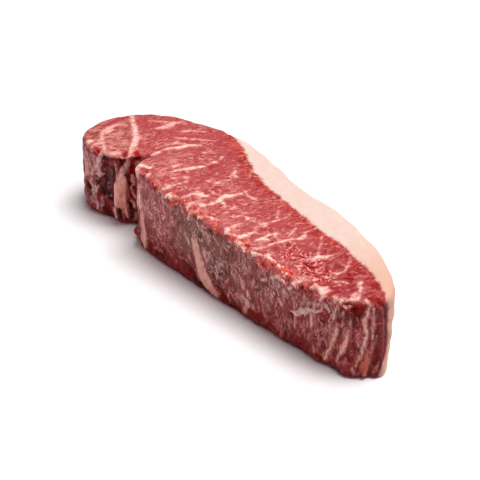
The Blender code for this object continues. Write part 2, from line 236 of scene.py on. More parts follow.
# Fat on the wall and along its upper edge, by how pale it is.
WALL_VEINS = (
    (0.3, ((191.5, 212, 0.6), (194, 219, 0.8))),
    (0.2, ((136, 213, 0.8), (136, 219, 0.8))),
    (0.9, ((346, 299, 1), (342, 300, 1), (340, 303, 0.9))),
    (0.8, ((336, 298, 1), (334, 302, 1))),
    (0.9, ((353, 297, 1), (356, 294, 1.8), (359, 295, 1), (358, 300, 1.1), (354, 301, 1.1), (351, 299, 1))),
    (0.9, ((366, 300, 0.9), (368, 303, 0.9), (370, 306, 1))),
    (1, ((141, 165, 2.1), (146, 167, 1.3), (150, 168, 0.8))),
    (0.9, ((138, 170, 1), (139, 174, 1.4))),
    (1, ((313, 259, 1), (319, 257, 1.2), (326, 257, 1.1), (331, 256, 0.8))),
    (0.7, ((322, 237, 0.4), (321, 243, 0.4), (319, 250, 0.4), (318, 256, 0.4))),
    (0.8, ((350, 261, 0.4), (348, 266, 0.5), (345, 271, 0.6), (340, 273, 0.7), (336, 274, 0.8))),
    (0.9, ((336, 282, 0.6), (342, 282, 0.7), (347, 283, 0.5))),
    (0.9, ((361, 282, 0.9), (360, 286, 0.9), (361, 290, 0.9), (358, 293, 1.1), (354, 295, 1.1))),
    (0.9, ((321, 291, 1), (326, 289, 1.5), (329, 291, 0.8))),
    (0.3, ((140.5, 198, 1), (142, 203, 1), (145, 207, 0.8), (148, 209.5, 0.6))),
    (0.3, ((145, 200, 0.6), (147, 204, 0.7), (149, 208, 0.6))),
    (0.3, ((152, 195, 0.6), (153.5, 199, 0.7))),
    (0.6, ((160.5, 190, 0.6), (162.5, 194, 1), (163.5, 199, 0.8), (164.5, 204, 0.6))),
    (0.3, ((150, 210, 0.6), (152.5, 214, 0.7), (154, 217, 0.6))),
    (0.2, ((157, 213, 0.7), (159, 217, 0.7))),
    (0.3, ((164, 207, 0.5), (164.5, 212, 0.5), (165, 217, 0.5))),
    (0.3, ((176, 214, 0.4), (179, 209.5, 0.4), (182, 207, 0.4), (184, 205.5, 0.4))),
    (0.6, ((172, 217, 0.7), (173, 221, 1), (174, 225, 0.6))),
    (0.3, ((167, 226, 0.4), (170, 224, 0.5), (172, 221, 0.5))),
    (0.7, ((190.5, 211, 0.5), (192, 215, 0.8), (193.5, 219, 0.7), (193, 224, 0.4))),
    (0.6, ((193, 228, 0.6), (194.5, 232, 0.7), (195.5, 236, 0.7))),
    (0.6, ((185, 233, 0.7), (186.5, 237, 1), (188, 241, 1.1), (190, 245, 0.7))),
    (0.3, ((201, 226, 0.5), (203, 231, 0.6), (205, 236, 0.6), (207, 240, 0.8), (208.5, 244, 0.7))),
    (0.6, ((207, 234, 0.8), (208.5, 237.5, 1), (209.5, 241, 0.8))),
    (0.6, ((214, 237, 0.6), (216, 240, 0.7), (218, 244, 0.6))),
    (0.5, ((217, 262, 0.6), (219, 264, 0.6), (217.5, 267, 0.6), (219.5, 270, 0.6))),
    (0.3, ((211, 256, 0.4), (214, 254.5, 0.4))),
    (0.3, ((228, 263, 0.5), (231, 265, 0.6), (233, 264, 0.4))),
    (0.3, ((233, 270, 0.5), (232, 274, 0.5), (233, 277, 0.7))),
    (0.3, ((169.5, 252, 0.6), (171, 256, 0.6))),
    (0.3, ((178, 256, 0.6), (180, 258, 0.6))),
    (0.3, ((174, 263, 0.4), (176, 261, 0.4))),
    (0.3, ((189, 256, 0.8), (190, 259, 0.8))),
    (0.3, ((224, 246, 0.6), (227, 250, 0.6))),
    (0.4, ((205, 250, 0.8), (206.5, 256, 1), (207.5, 261, 1))),
    (0.2, ((203, 223, 0.5), (204, 227, 0.6))),
    (0.3, ((221, 249, 0.5), (222, 253, 0.6))),
    (0.3, ((180, 226, 0.5), (181, 231, 0.5))),
    (0.2, ((157, 229, 0.5), (158, 234, 0.5))),
    (0.5, ((194.5, 242.5, 2.7), (196, 250, 3), (198.5, 258, 3.3), (201, 265, 3.7), (202.5, 272, 4.1),
          (205.5, 279, 4.6), (209, 285, 4))),
    (0.3, ((209, 285, 3.6), (212, 289, 3.4), (215.5, 293, 2.6))),
    (0.5, ((142, 213, 1.6), (142.5, 220, 2.1), (143.5, 227, 2.7), (144.5, 234, 3), (144, 241, 2.8),
          (145, 246, 1.6))),
    (0.6, ((139.5, 186, 1.4), (139, 193, 1.6), (139.5, 199, 1.4))),
    (0.6, ((235, 245.5, 1), (236.5, 249, 1))),
    (0.3, ((239, 252, 0.7), (239, 256, 0.7), (238.5, 260, 0.6))),
    (0.5, ((231.5, 271, 0.6), (232, 274, 0.7), (233, 277, 0.7))),
    (0.5, ((233, 275.5, 0.5), (234, 272.5, 0.5), (236, 270.5, 0.4))),
    (0.5, ((232, 265, 0.7), (233.5, 267, 0.6), (236, 266, 0.4))),
    (0.6, ((241, 279, 0.5), (240.5, 283, 0.7), (242, 286, 1), (244, 289, 0.8))),
    (0.6, ((253.5, 280, 0.6), (253, 284, 0.8), (252, 288, 0.7))),
    (0.3, ((250.5, 270, 0.8), (252, 273, 0.8))),
    (0.5, ((265, 272, 0.6), (265.5, 276, 0.8), (266.5, 279, 1))),
    (0.3, ((265, 289, 0.6), (266, 293, 0.7), (268, 295.5, 0.7))),
    (0.6, ((246.5, 291, 1), (248, 295, 1.3), (249.5, 298.5, 1))),
    (0.5, ((244, 297, 0.7), (246, 300, 1), (247.5, 303, 1.3))),
    (0.3, ((246.5, 304, 0.9), (245.5, 308, 1.2), (245, 312, 1))),
    (0.5, ((252, 304, 0.6), (253, 308, 0.7), (254, 312, 0.6))),
    (0.3, ((258, 310, 0.5), (259, 307.5, 0.5))),
    (0.3, ((268, 306, 0.8), (269.5, 309, 0.7))),
    (0.7, ((279, 299, 0.8), (280.5, 302, 0.8), (281.5, 305, 0.6))),
    (0.3, ((283, 297, 0.6), (284, 301, 0.6))),
    (0.3, ((295, 299, 0.4), (294.5, 303, 0.4), (294, 308, 0.5))),
    (0.3, ((297, 293, 0.5), (297, 297, 0.4))),
    (0.6, ((294.5, 318, 0.6), (294.5, 323, 0.6), (295, 328, 0.6))),
    (0.3, ((289, 320, 0.5), (288.5, 325, 0.6), (289, 329, 0.7))),
    (0.3, ((281.5, 331, 0.6), (281, 335, 0.6))),
    (0.2, ((276, 322, 0.5), (276.5, 327, 0.5))),
    (0.3, ((230, 288, 0.6), (229.5, 292, 0.6), (228, 296, 0.7), (228.5, 301, 0.7))),
    (0.3, ((240, 299, 0.5), (242, 296, 0.5), (243, 294, 0.4))),
    (0.3, ((262, 300, 0.5), (262.5, 304, 0.5))),
    (0.3, ((271, 299, 0.4), (272, 303, 0.5))),
    (0.3, ((264, 318, 0.5), (265, 322, 0.5))),
    (0.8, ((306, 276.5, 0.7), (302, 278.5, 1.1), (298, 280.5, 1.2), (294, 284, 1.1))),
    (0.8, ((311, 287, 0.8), (315, 287.5, 1), (318, 289, 1))),
    (1, ((322, 294, 1.2), (324, 290, 0.8))),
    (0.6, ((333, 296, 0.7), (336, 297, 1.1), (337, 300, 0.8))),
    (0.8, ((340, 299.5, 0.7), (343, 298, 0.8), (346, 297, 0.7))),
    (0.5, ((340, 301, 0.7), (338, 304, 0.7), (336.5, 308, 0.7), (335, 312, 0.8), (334, 316, 0.9),
          (333, 319, 0.8))),
    (0.6, ((311.5, 315, 0.7), (312, 321, 0.8), (311.5, 327, 0.6))),
    (0.3, ((304, 321, 0.4), (303.5, 327, 0.5), (303.5, 333, 0.5))),
    (0.3, ((307, 317, 0.4), (307, 325, 0.5))),
    (0.3, ((314.5, 332, 0.4), (316, 330, 0.4))),
    (0.4, ((322.5, 325, 0.4), (324, 329, 0.4), (322.5, 332, 0.4))),
    (0.4, ((328.5, 327, 0.4), (329, 333, 0.4), (329.5, 339, 0.4), (329.5, 343, 0.4))),
    (0.3, ((317, 323, 0.5), (318, 330, 0.6))),
    (0.3, ((309, 335, 0.5), (308.5, 340, 0.5))),
    (0.3, ((298, 331, 0.4), (298, 336, 0.4))),
    (0.5, ((336.5, 324, 0.7), (337, 328, 0.9), (336, 332, 0.9), (334.5, 337, 1.1), (332.5, 342, 1.1),
          (330.5, 347, 1.1), (328, 352, 1.4), (325.5, 356, 1.6), (325, 358.5, 1.5))),
    (0.6, ((349, 331, 0.7), (348, 335, 0.9), (346.5, 340, 1.2), (344.5, 345, 1.4), (342.5, 349, 1.4),
          (340.5, 353, 1.2))),
    (0.4, ((338, 355, 0.7), (337, 359, 0.7), (336.5, 362, 0.7))),
    (0.3, ((313.5, 347, 0.6), (313.5, 352, 0.6))),
    (0.5, ((341, 316, 0.4), (342.5, 314, 0.4), (343.5, 312, 0.4))),
    (0.2, ((343, 322, 0.4), (342, 326, 0.4))),
    (0.8, ((370.5, 305, 0.5), (369, 309, 0.7), (367.5, 313, 0.7), (366, 317, 0.9), (364.5, 321, 1.1),
          (365, 326, 0.9), (366, 331, 0.9), (367, 335, 0.9), (365.5, 340, 1.1), (364, 344, 1.2),
          (363, 349, 1.1), (362, 354, 0.8), (360, 359, 0.7))),
    (0.5, ((359, 356, 0.7), (357, 361, 0.8), (356, 366, 0.8))),
    (0.5, ((352, 368, 0.5), (353, 372, 0.7), (355.5, 374, 0.5))),
    (0.5, ((373, 343, 0.4), (371, 350, 0.5), (369.5, 357, 0.5), (368, 364, 0.5), (367, 369, 0.4))),
    (0.4, ((374.5, 317, 0.5), (374, 322, 0.7), (373.5, 327, 0.7), (372.5, 331, 0.5))),
    (0.4, ((358, 331, 0.4), (357, 336, 0.5), (357.5, 341, 0.5), (359, 346, 0.5))),
    (0.4, ((350, 323, 0.4), (350.5, 328, 0.4))),
    (0.2, ((378, 363, 0.4), (376, 368, 0.4), (374, 372, 0.4))),
    (0.2, ((345, 359, 0.4), (344, 363, 0.4))),
    (1, ((136.5, 165.5, 1), (136.5, 170, 2.2), (137, 176, 1.6))),
    (0.8, ((137, 191, 1.2), (137.5, 198, 1.8), (137.5, 206, 1.4))),
    (0.8, ((131.5, 115.5, 1.1), (132.5, 120, 1.4), (133.5, 124, 1.6), (135, 128, 1.7), (135.5, 133, 1.8),
          (136, 138, 2), (135, 142, 2), (133.5, 146, 2), (132, 149.5, 1.6), (130.5, 153, 0.9),
          (129, 156, 0.6))),
    (0.5, ((119, 124, 0.9), (114, 126, 1.5), (109, 128.5, 2), (106, 130.5, 1.9), (103, 133, 1.6))),
    (0.8, ((103, 133, 1.1), (101.5, 136, 1.1), (102, 139, 0.9), (103.5, 142, 0.8))),
    (0.7, ((103.5, 142, 1.1), (103.5, 145, 1.2), (104.5, 149, 1.3))),
    (0.6, ((107, 133, 1.7), (111, 130.5, 1.7))),
    (0.5, ((101.5, 151, 0.8), (103.5, 153, 1.3), (107, 153.5, 1.6), (111, 153.5, 2.2), (115, 153.5, 2.4),
          (119, 153.5, 1.8))),
    (0.8, ((120, 156.5, 0.6), (123, 158.5, 0.5), (126, 158.5, 0.6), (128, 156.5, 0.5), (129, 153, 0.5))),
    (0.8, ((119, 151, 0.5), (119.5, 154, 0.6), (120.5, 156.5, 0.4))),
    (0.7, ((96, 144.5, 0.7), (99, 142.5, 1.1), (102, 143, 1.3))),
    (0.7, ((90.5, 151, 0.5), (91.5, 148, 0.6), (93, 145.5, 0.9), (95.5, 144, 1))),
    (0.9, ((88, 141, 1.2), (90, 141.5, 2.2), (92, 141, 1.5))),
    (0.7, ((97, 140, 1.1), (100, 141, 1.4))),
    (0.5, ((110, 147, 0.8), (114, 145, 0.8), (119, 144, 0.6), (125, 143.5, 0.6), (128, 143, 0.5))),
    (0.5, ((109, 137, 0.5), (113, 134, 0.6), (119, 133, 0.6), (124, 133, 0.5))),
    (0.5, ((116, 136, 0.4), (118, 138.5, 0.4), (119.5, 140, 0.3))),
    (0.5, ((121, 125, 0.5), (125, 124.5, 0.5), (128, 125, 0.5))),
    (0.6, ((122, 141, 0.7), (125, 140, 0.7))),
    (0.6, ((111, 149, 0.8), (115, 148.5, 0.8))),
    (0.5, ((92, 132, 0.7), (95, 130.5, 0.8))),
    (0.5, ((131, 160, 0.5), (129.5, 163, 0.8), (127, 167, 1.1), (124, 171, 1.2), (121, 175, 1.3),
          (118.5, 178, 1.1))),
    (0.5, ((115, 166, 0.8), (115.5, 172, 1.1), (116.5, 178, 1.3))),
    (0.6, ((114.5, 204, 1.1), (115, 211, 1.2), (116, 218, 1))),
    (0.3, ((122, 207, 0.6), (123, 212, 0.7), (124.5, 218, 0.5))),
    (0.3, ((127, 205, 0.7), (127.5, 211, 0.7), (128.5, 217, 0.6))),
    (0.4, ((86, 160, 1), (86.5, 168, 1.2), (86, 176, 1))),
    (0.3, ((90, 158, 0.8), (91, 164, 0.7))),
    (0.9, ((138.5, 186, 1.6), (139, 193, 1.9), (139.5, 200, 1.8), (140, 207, 1.4))),
    (0.8, ((294, 284.5, 0.8), (297, 282.5, 1), (300, 281, 1.1), (303, 279, 0.9), (307, 280, 0.9))),
    (0.9, ((319, 289, 1.5), (323, 290.5, 2.8), (326, 290, 1.7))),
    (0.8, ((322.5, 293, 1.4), (321.5, 297, 1), (321, 300, 0.5))),
    (0.8, ((311, 287, 1), (314, 286.5, 1), (317, 287.5, 1))),
    (0.6, ((328.5, 326, 0.4), (329, 333, 0.4), (330, 340, 0.5))),
    (0.5, ((332, 334, 0.6), (334, 339, 0.7))),
)
# The block of fat stained orange-pink on the side muscle's front and bits like it, by how pale they are.
# Across the block a pale left edge and a darker right side are partly painted light and shade, and the bits
# in the notch's crevice are made paler as painted light.
RUDDY_FAT_AND_LIGHT = (
    (0.1, ((367.5, 350, 0.5), (366, 356, 0.9), (365, 362, 1.1), (364, 368, 1.1), (363.5, 374, 1))),
    (0.8, ((122, 177, 1.4), (121.5, 181, 2.3))),
    (0.7, ((121.5, 181, 2.4), (121, 187, 3.2), (120.5, 193, 3.4), (121, 199, 3.3))),
    (0.5, ((121, 199, 3.1), (121.5, 204, 2.7))),
    # The strip's darker right side, partly painted shade.
    (0.3, ((126, 186, 0.8), (126.5, 193, 1), (126, 200, 1))),
    (0.4, ((122, 189, 1.1), (121, 195, 1.2))),
    # Its bright left edge, partly painted light.
    (1.1, ((116, 184, 0.9), (115, 190, 1.1), (115, 197, 1.5), (115.5, 203, 1.1))),
    (0.4, ((124.5, 202, 1.6), (125.5, 207, 1.7), (126.5, 212, 1.3), (128, 217.5, 0.8))),
    (0.6, ((118, 203, 0.8), (117.5, 206, 0.7))),
    # Bits in the notch's crevice, made paler as painted light.
    (0.9, ((131.5, 178, 0.5), (132.5, 180, 0.8), (131.5, 182.5, 0.6))),
    (0.6, ((133.5, 184, 0.5), (132.5, 187, 0.6))),
    (0.9, ((130, 189, 0.4), (131.5, 193, 0.5), (133.5, 197, 0.5), (134, 199.5, 0.4))),
    (0.8, ((131, 201, 0.5), (133, 205, 0.9), (134, 208.5, 0.7))),
)
# Thin silvery tissue on the wall, by how thick it is.
SILVER = (
    (0.5, ((139, 203, 1.1), (143, 206, 1.2), (147, 209, 1.2))),
    (0.5, ((86, 153, 3), (86.5, 162, 3), (87, 171, 3))),
    (0.5, ((93, 156, 2.4), (92.5, 163, 2.4), (93, 199, 2.9), (97, 202, 1.7))),
    (1, ((100.5, 154, 0.6), (99, 159, 0.9), (97.5, 163, 1.4), (97, 168, 1.7), (99, 172, 1.6),
          (101, 174, 1.1))),
    (1, ((92.5, 167, 1.1), (92, 173, 1.6), (92.5, 180, 1.8), (93, 186, 1.8), (95, 191, 1.3))),
    (0.9, ((100, 175.5, 1), (97, 174.5, 1))),
    (0.7, ((97.5, 186, 0.8), (96, 190, 0.9))),
    (0.4, ((105.5, 184, 0.7), (107.5, 187, 1.3), (106, 190, 0.5))),
    (0.4, ((103, 170, 0.5), (107.5, 168, 0.9), (110, 172, 1.2))),
    (0.5, ((102.5, 197, 0.9), (102, 203, 1.1), (101, 207, 0.8))),
    (0.7, ((98.5, 204.5, 0.7), (97.5, 208.5, 0.9))),
    (0.5, ((105.5, 197, 0.8), (109.5, 198, 0.7))),
    (0.6, ((128, 163.5, 1.3), (123.5, 169.5, 1.6), (119.5, 176, 1.4))),
    (0.6, ((374, 308, 0.5), (373.5, 316, 0.8), (373, 324, 0.9), (372.5, 332, 0.8), (372.5, 339, 0.6))),
    (0.3, ((357, 318, 0.5), (356, 324, 0.5))),
    (0.5, ((349.5, 317, 0.6), (350, 325, 0.7))),
    (0.4, ((272, 284, 2.9), (285, 292, 3.5), (298, 298, 3.2), (308, 302, 2.6))),
    (0.9, ((291, 311.5, 0.7), (294, 313, 1.1), (297, 313, 1.3), (300, 311.5, 1.4), (303, 310.5, 1.5),
          (306, 311, 1.1), (309, 309.5, 0.7))),
    (0.8, ((309, 309.5, 0.8), (313, 311, 0.7), (317, 312, 0.6), (320, 311, 0.6), (322.5, 308, 0.5))),
    (0.5, ((312, 304, 1.2), (317, 305.5, 1.3), (321, 304, 1))),
    (0.7, ((294.5, 315, 0.6), (294.5, 321, 0.5), (294.5, 327, 0.5))),
    (0.7, ((311.5, 314, 0.6), (311, 320, 0.8), (310.5, 326, 0.5))),
    (0.8, ((281, 288, 0.6), (285, 289, 0.9), (289, 289.5, 0.9), (292, 286.5, 0.7))),
    (0.8, ((270, 279, 0.6), (274, 276.5, 0.8), (279, 277, 0.8), (281, 279, 0.8))),
    (0.7, ((271, 281, 0.7), (274, 284.5, 0.7), (277, 286, 0.7))),
    (0.6, ((262, 279, 1), (266, 281, 1))),
    (0.7, ((332, 319, 0.7), (333, 316, 0.9), (334.5, 312, 0.8))),
    (0.6, ((325, 303, 0.7), (327, 308, 0.9), (330, 312, 0.8))),
    (0.7, ((278.5, 299, 0.7), (280, 302, 0.9), (281, 305, 0.5))),
    (0.5, ((267.5, 305, 0.8), (269, 309, 0.7))),
    (0.5, ((302, 296, 0.8), (306, 299, 1.1), (309, 302, 0.9))),
    (0.6, ((242.5, 297, 1.3), (246, 300, 1.8), (248, 305, 1.6))),
)
# Torn orange-red meat, most of it along the front edge, by how much of it there is, and one painted
# highlight: a glint at the notch's top.
TORN_AND_GLINTS = (
    (0.8, ((153, 180, 0.8), (155, 184, 1.3), (157, 187, 1.6))),
    (1, ((169, 191, 0.7), (171, 196, 1.1), (174, 200, 1))),
    (0.9, ((177, 199, 1.1), (184, 201, 1.3))),
    (1, ((191, 206, 1), (195, 209, 1.5), (198, 214, 1.4), (205, 215, 1.4))),
    (0.8, ((214, 223, 1.1), (218, 226, 0.8))),
    (0.9, ((226, 229, 1.1), (231, 234, 1.4), (238, 242, 1.3))),
    (0.9, ((243, 241, 1.5), (249, 246, 1.5))),
    (0.8, ((253, 253, 0.8), (259, 257, 0.8))),
    (1, ((268, 259, 1.2), (273, 263, 1.7))),
    (0.9, ((279, 268, 1.5), (286, 270, 2.4), (292, 274, 2.1), (295, 279, 0.9))),
    (1, ((303, 282, 0.9), (305, 286, 1.1))),
    (0.7, ((323, 297, 0.8), (328, 293, 1.1))),
    (0.6, ((334, 286, 1.2), (339, 285, 1.1))),
    (0.5, ((184, 172, 1.1), (196, 173, 1.1))),
    (0.9, ((303, 284, 0.7), (306, 285.5, 0.8))),
    # A painted orange-red glint at the notch's top.
    (0.9, ((134.5, 149, 1), (137, 148.5, 1.1), (139.5, 149.5, 0.7))),
    (0.6, ((138, 119.5, 1), (142, 118, 1))),
    (0.5, ((91, 134, 0.6), (90, 137, 0.6))),
    (0.3, ((345, 301.5, 0.4), (349, 301.5, 0.4), (353, 302, 0.4))),
    (0.8, ((364, 304.5, 0.4), (367, 303.5, 0.5))),
    (0.9, ((152, 182, 1), (156, 186, 1.6), (158, 190, 1.3))),
    (0.8, ((167, 192, 1.1), (169, 197, 2), (171, 202, 2.6))),
    (0.6, ((181, 199, 0.9), (185, 203, 1), (188, 209, 1))),
    (0.8, ((195, 211, 1.2), (199, 216, 1.3), (205, 219, 1.1))),
    (0.7, ((213, 222, 1), (217, 226, 1), (216, 232, 1))),
    (0.9, ((286, 272, 1.1), (289, 276, 1))),
)
# Wet meat: from 0, almost black, to 1, bright red, and on to 2, rosy. Some of its dark strokes are painted
# shade in hollows.
BLOOD_AND_SHADE = (
    (0.1, ((194, 279, 1.1), (200, 284, 1.7), (203, 288, 1.2))),
    (0.4, ((304, 263, 0.4), (308, 266, 0.7), (313, 268, 0.5))),
    (0.4, ((326, 267, 0.3), (327, 272, 0.4))),
    (0.4, ((252, 313, 1.8), (260, 318, 1.9), (270, 325, 1.4))),
    (0.3, ((232, 307, 0.9), (240, 311, 1))),
    (0.3, ((291, 314, 0.9), (292, 320, 0.6))),
    (0.3, ((189, 268, 1.6), (192, 273, 1.4), (188, 275, 0.8))),
    (0.5, ((316, 355, 1.2), (320, 358, 0.8))),
    (0.6, ((347, 272, 0.5), (350, 275, 0.6))),
    (0.5, ((370, 298, 0.8), (374, 301, 0.7))),
    (0.5, ((345, 278, 0.6), (352, 279, 0.6))),
    (0.3, ((149, 243, 1.9), (150, 246.5, 1.7))),
    (0.2, ((218, 288, 1.5), (220.5, 292, 2.1), (223, 296, 2.2), (225, 300, 2))),
    (0.6, ((307, 265, 0.4), (311, 266.5, 0.6), (316, 267.5, 0.4))),
    (0.6, ((132.5, 160, 1.2), (132, 170, 1.5), (132, 182, 1.5))),
    (0.5, ((132, 184, 1.5), (132, 196, 1.5), (132.5, 206, 1.4))),
    (0.3, ((104, 165, 1), (109, 166, 1.1))),
    (1.5, ((94, 147, 0.6), (97, 148.5, 0.7), (99.5, 150.5, 0.5))),
    (1.3, ((96.5, 150, 0.6), (97.5, 153, 0.8))),
    (0.5, ((121, 152.5, 0.8), (122.5, 154.5, 1.4), (124.5, 156, 1.7), (126, 154, 1.1), (126, 151.5, 0.6))),
    (0.6, ((135.5, 151, 0.9), (137, 154, 1.5), (139, 157, 1.4), (140, 160.5, 0.7))),
    (2, ((103, 126, 0.7), (109, 123.5, 1.1), (114, 121, 1.3), (119, 119, 1.4), (124, 117.5, 1.3),
          (128, 117, 1))),
    # Painted shade in the band under the side muscle's fat edge.
    (0.5, ((110, 158, 0.5), (114, 159, 0.7), (118, 160, 0.7))),
    (0.2, ((105, 203, 2.3), (107.5, 209, 3.1), (110, 214, 3))),
    # The next three strokes are painted shade in the hollow under the tail's top edge.
    (0.5, ((344, 303.5, 0.5), (347, 304.5, 0.5), (350, 303, 0.5))),
    (0.5, ((352, 304, 0.9), (356, 306.5, 1.2), (359, 309, 1.4), (362, 310.5, 1.6), (365, 309, 1.4),
          (367.5, 306.5, 0.9))),
    (0.2, ((353, 310, 1.2), (358, 314, 1.5), (362, 317, 1))),
    (0.4, ((378, 299, 1.2), (380, 302, 1.2), (382, 304, 1.2))),
    (0.3, ((149, 243, 2.4), (150, 247, 2.4))),
    (0.2, ((157, 253, 1.4), (163, 257, 1.3))),
)
# Painted shade in hollows, in the notch's crevice and under overhanging edges, dark plum to almost black
# over meat that is dark there too, by how deep it is.
HOLLOW_SHADE = (
    (1, ((133, 159, 0.6), (138, 160, 0.6))),
    (1, ((133, 161, 0.6), (133, 167, 0.8), (133, 173, 0.8), (134, 180, 0.6), (134, 187, 0.7),
          (135, 195, 0.5), (134, 203, 0.5), (133, 210, 0.7), (133, 217, 0.7))),
    (0.8, ((128, 177, 0.4), (129, 183, 0.4), (129, 190, 0.4), (129, 197, 0.4))),
    (0.8, ((338, 320, 0.7), (340, 322, 0.6))),
    (0.5, ((378, 310, 1), (379, 320, 1.2), (380, 330, 1.3), (379, 340, 1.1), (378, 350, 1.1),
          (377, 358, 0.9), (374, 366, 0.8))),
    (0.8, ((385, 306, 0.5), (386, 316, 0.6), (386, 326, 0.6), (386, 336, 0.7), (385, 346, 0.6),
          (384, 354, 0.6), (383, 362, 0.6))),
    (0.5, ((130.5, 136, 0.3), (130.5, 141, 0.3))),
    (0.5, ((129, 147.5, 0.3), (128.5, 149.5, 0.3))),
    (0.5, ((184, 263, 1.7), (189, 269, 2.3), (193.5, 275, 2.2))),
    (0.3, ((165, 251, 1.9), (170, 257, 2), (176, 262, 1.8))),
    (0.3, ((233, 302, 1.4), (238, 305, 1.4))),
    (0.5, ((301, 344, 1.3), (306, 346.5, 1.2))),
    (0.4, ((292, 335, 1.4), (297, 338, 1.4))),
    (0.5, ((343, 357, 1.1), (348, 358, 1.1))),
    (0.5, ((340, 329, 0.7), (338, 336, 0.7), (335, 343, 0.7))),
    (0.5, ((92, 134.5, 1.2), (96, 133.5, 2), (99, 132, 1.1))),
    (0.4, ((93, 138, 1.2), (97, 137, 1.2))),
    (0.4, ((106, 144, 0.5), (107, 147.5, 0.7))),
    (0.5, ((130.5, 136, 0.3), (130.5, 141, 0.3))),
    (0.6, ((129, 147.5, 0.4), (128.5, 149.5, 0.4))),
    (0.3, ((113, 138, 0.9), (115, 141, 1))),
    (1, ((101.5, 157, 0.7), (104, 158, 0.9), (107, 159.5, 0.9))),
    (0.5, ((108, 159.5, 0.9), (114, 161.5, 1.1), (119, 162, 1))),
    (0.6, ((104, 163, 1.8), (108, 168, 3.6), (107.5, 174, 3.6))),
    (1.2, ((105.5, 179, 2.5), (105.5, 185, 3.5), (106.5, 191, 4.3), (109, 196, 3.4))),
    (1.2, ((112.5, 168, 1.1), (112.5, 176, 1.4), (112.5, 183, 1.3), (112.5, 192, 1.4), (112.5, 200, 1.6),
          (112.5, 204, 1.1))),
    (1.1, ((119.5, 160, 0.9), (122, 163.5, 0.8), (121, 166, 0.5))),
    (0.9, ((124, 160.5, 0.7), (123, 163, 0.6))),
    (1.1, ((118.5, 208, 0.5), (119.5, 213, 0.8), (121, 218.5, 0.8))),
    (1, ((124.5, 208, 0.4), (125.5, 213, 0.5), (126.5, 218.5, 0.4))),
    (1.1, ((130.5, 204, 0.6), (131, 211, 0.7), (131, 217.5, 0.7))),
    (1.1, ((129, 176, 0.5), (129, 183, 0.5), (129, 190, 0.5), (129, 198, 0.5))),
    (1.1, ((95.5, 177.5, 0.9), (96, 181, 1.1), (96.5, 184, 0.9))),
    (1.1, ((100, 165.5, 0.6), (100.5, 167.5, 0.6))),
    (1.1, ((86, 180.5, 1.4), (87.5, 184.5, 2), (89.5, 188.5, 1.6))),
    (1, ((89.5, 192.5, 1.5), (92, 197, 1.6))),
    (0.9, ((99.5, 181, 0.8), (100, 188, 0.9), (99.5, 194, 0.8))),
    (0.5, ((345, 312, 1.2), (348, 318, 1.6), (350, 325, 1.3))),
    (0.5, ((354, 311, 0.8), (355.5, 318, 1), (354, 326, 1), (354, 334, 0.8), (353.5, 342, 0.7))),
    (0.7, ((341.5, 314.5, 0.7), (343, 319, 0.8))),
    (0.6, ((361, 316, 0.5), (361.5, 322, 0.5), (362.5, 327, 0.5))),
    (0.6, ((361.5, 331, 0.4), (362.5, 337, 0.4))),
    (0.6, ((370, 326, 0.4), (369.5, 334, 0.5), (368.5, 342, 0.5))),
    (0.4, ((379, 312, 1.4), (380.5, 324, 1.6), (380, 336, 1.6))),
    (0.4, ((377, 345, 1.3), (376, 354, 1.3))),
    (0.6, ((373.5, 362, 0.7), (371.5, 369, 0.8), (370, 375, 0.7))),
    (0.6, ((381, 360, 0.7), (379, 367, 0.8), (377.5, 373, 0.7))),
    (0.5, ((343, 358, 1.2), (348, 358, 1.1))),
    (0.4, ((334, 318.5, 0.6), (338, 322, 0.9))),
    (0.5, ((340, 311, 0.7), (341, 316, 0.7))),
)
# Tissue where the cap ends behind, out of the camera's sight, with places in mm along x, y and z instead.
BACK_TISSUE = [
    (0.8, ((-45, 34, 43, 2.5), (-44, 34, 34, 3), (-45, 34, 22, 3), (-44, 34, 12, 3), (-45, 34, 4, 2.5))),
    (0.75, ((-45, 34, 36, 2.4), (-52, 33, 34, 1.6), (-60, 31, 31, 1.2), (-66, 29, 27, 1))),
    (0.7, ((-45, 34, 18, 2.4), (-52, 33, 16, 1.5), (-59, 31, 12, 1.2))),
]


def on_steak(strokes):
    """The strokes with each place, in mm, where the camera's ray through it meets the solid's skin."""
    middle = PHOTO_WIDTH / 2
    focus = PHOTO_WIDTH * LENS / SENSOR
    carried = []
    for tone, path in strokes:
        places = []
        for across, down, half_width in path:
            ray = right * (across - middle) - up * (down - middle) - back * focus
            place = skin.ray_cast(eye, ray.normalized())[0] / MM
            places.append((*place, half_width))
        carried.append((tone, places))
    return carried


def depth_in(strokes, axes=3):
    """How deep each vertex lies inside the nearest stroke, below zero outside, and that stroke's tone."""
    depth = np.full(count, -8.0)
    tone = np.zeros(count)
    for strength, path in strokes:
        path = np.array(path)
        line = path[:, :axes]
        half_width = path[:, -1]
        for i in range(len(path) - 1):
            run = line[i + 1] - line[i]
            offset = spots[:, :axes] - line[i]
            share = np.clip(offset @ run / (run @ run), 0.0, 1.0)
            gap = np.linalg.norm(offset - share[:, None] * run, axis=1)
            inside = half_width[i] + share * (half_width[i + 1] - half_width[i]) - gap
            tone = np.where(inside > depth, strength, tone)
            depth = np.maximum(depth, inside)
    return depth, tone


# Seen from above the face's veins are the same at every height.
face_depth, face_pale = depth_in(on_steak(FACE_VEINS), axes=2)
# On the lower face the seam shows as one clean vein, 3 mm wide.
seam_depth = depth_in(((1.0, [place + (1.5,) for place in SEAM]),), axes=2)[0] - 30.0 * upper
face_pale = np.where(seam_depth > face_depth, 0.9, face_pale)
face_depth = np.maximum(face_depth, seam_depth)
wall_depth, wall_pale = depth_in(on_steak(WALL_VEINS))
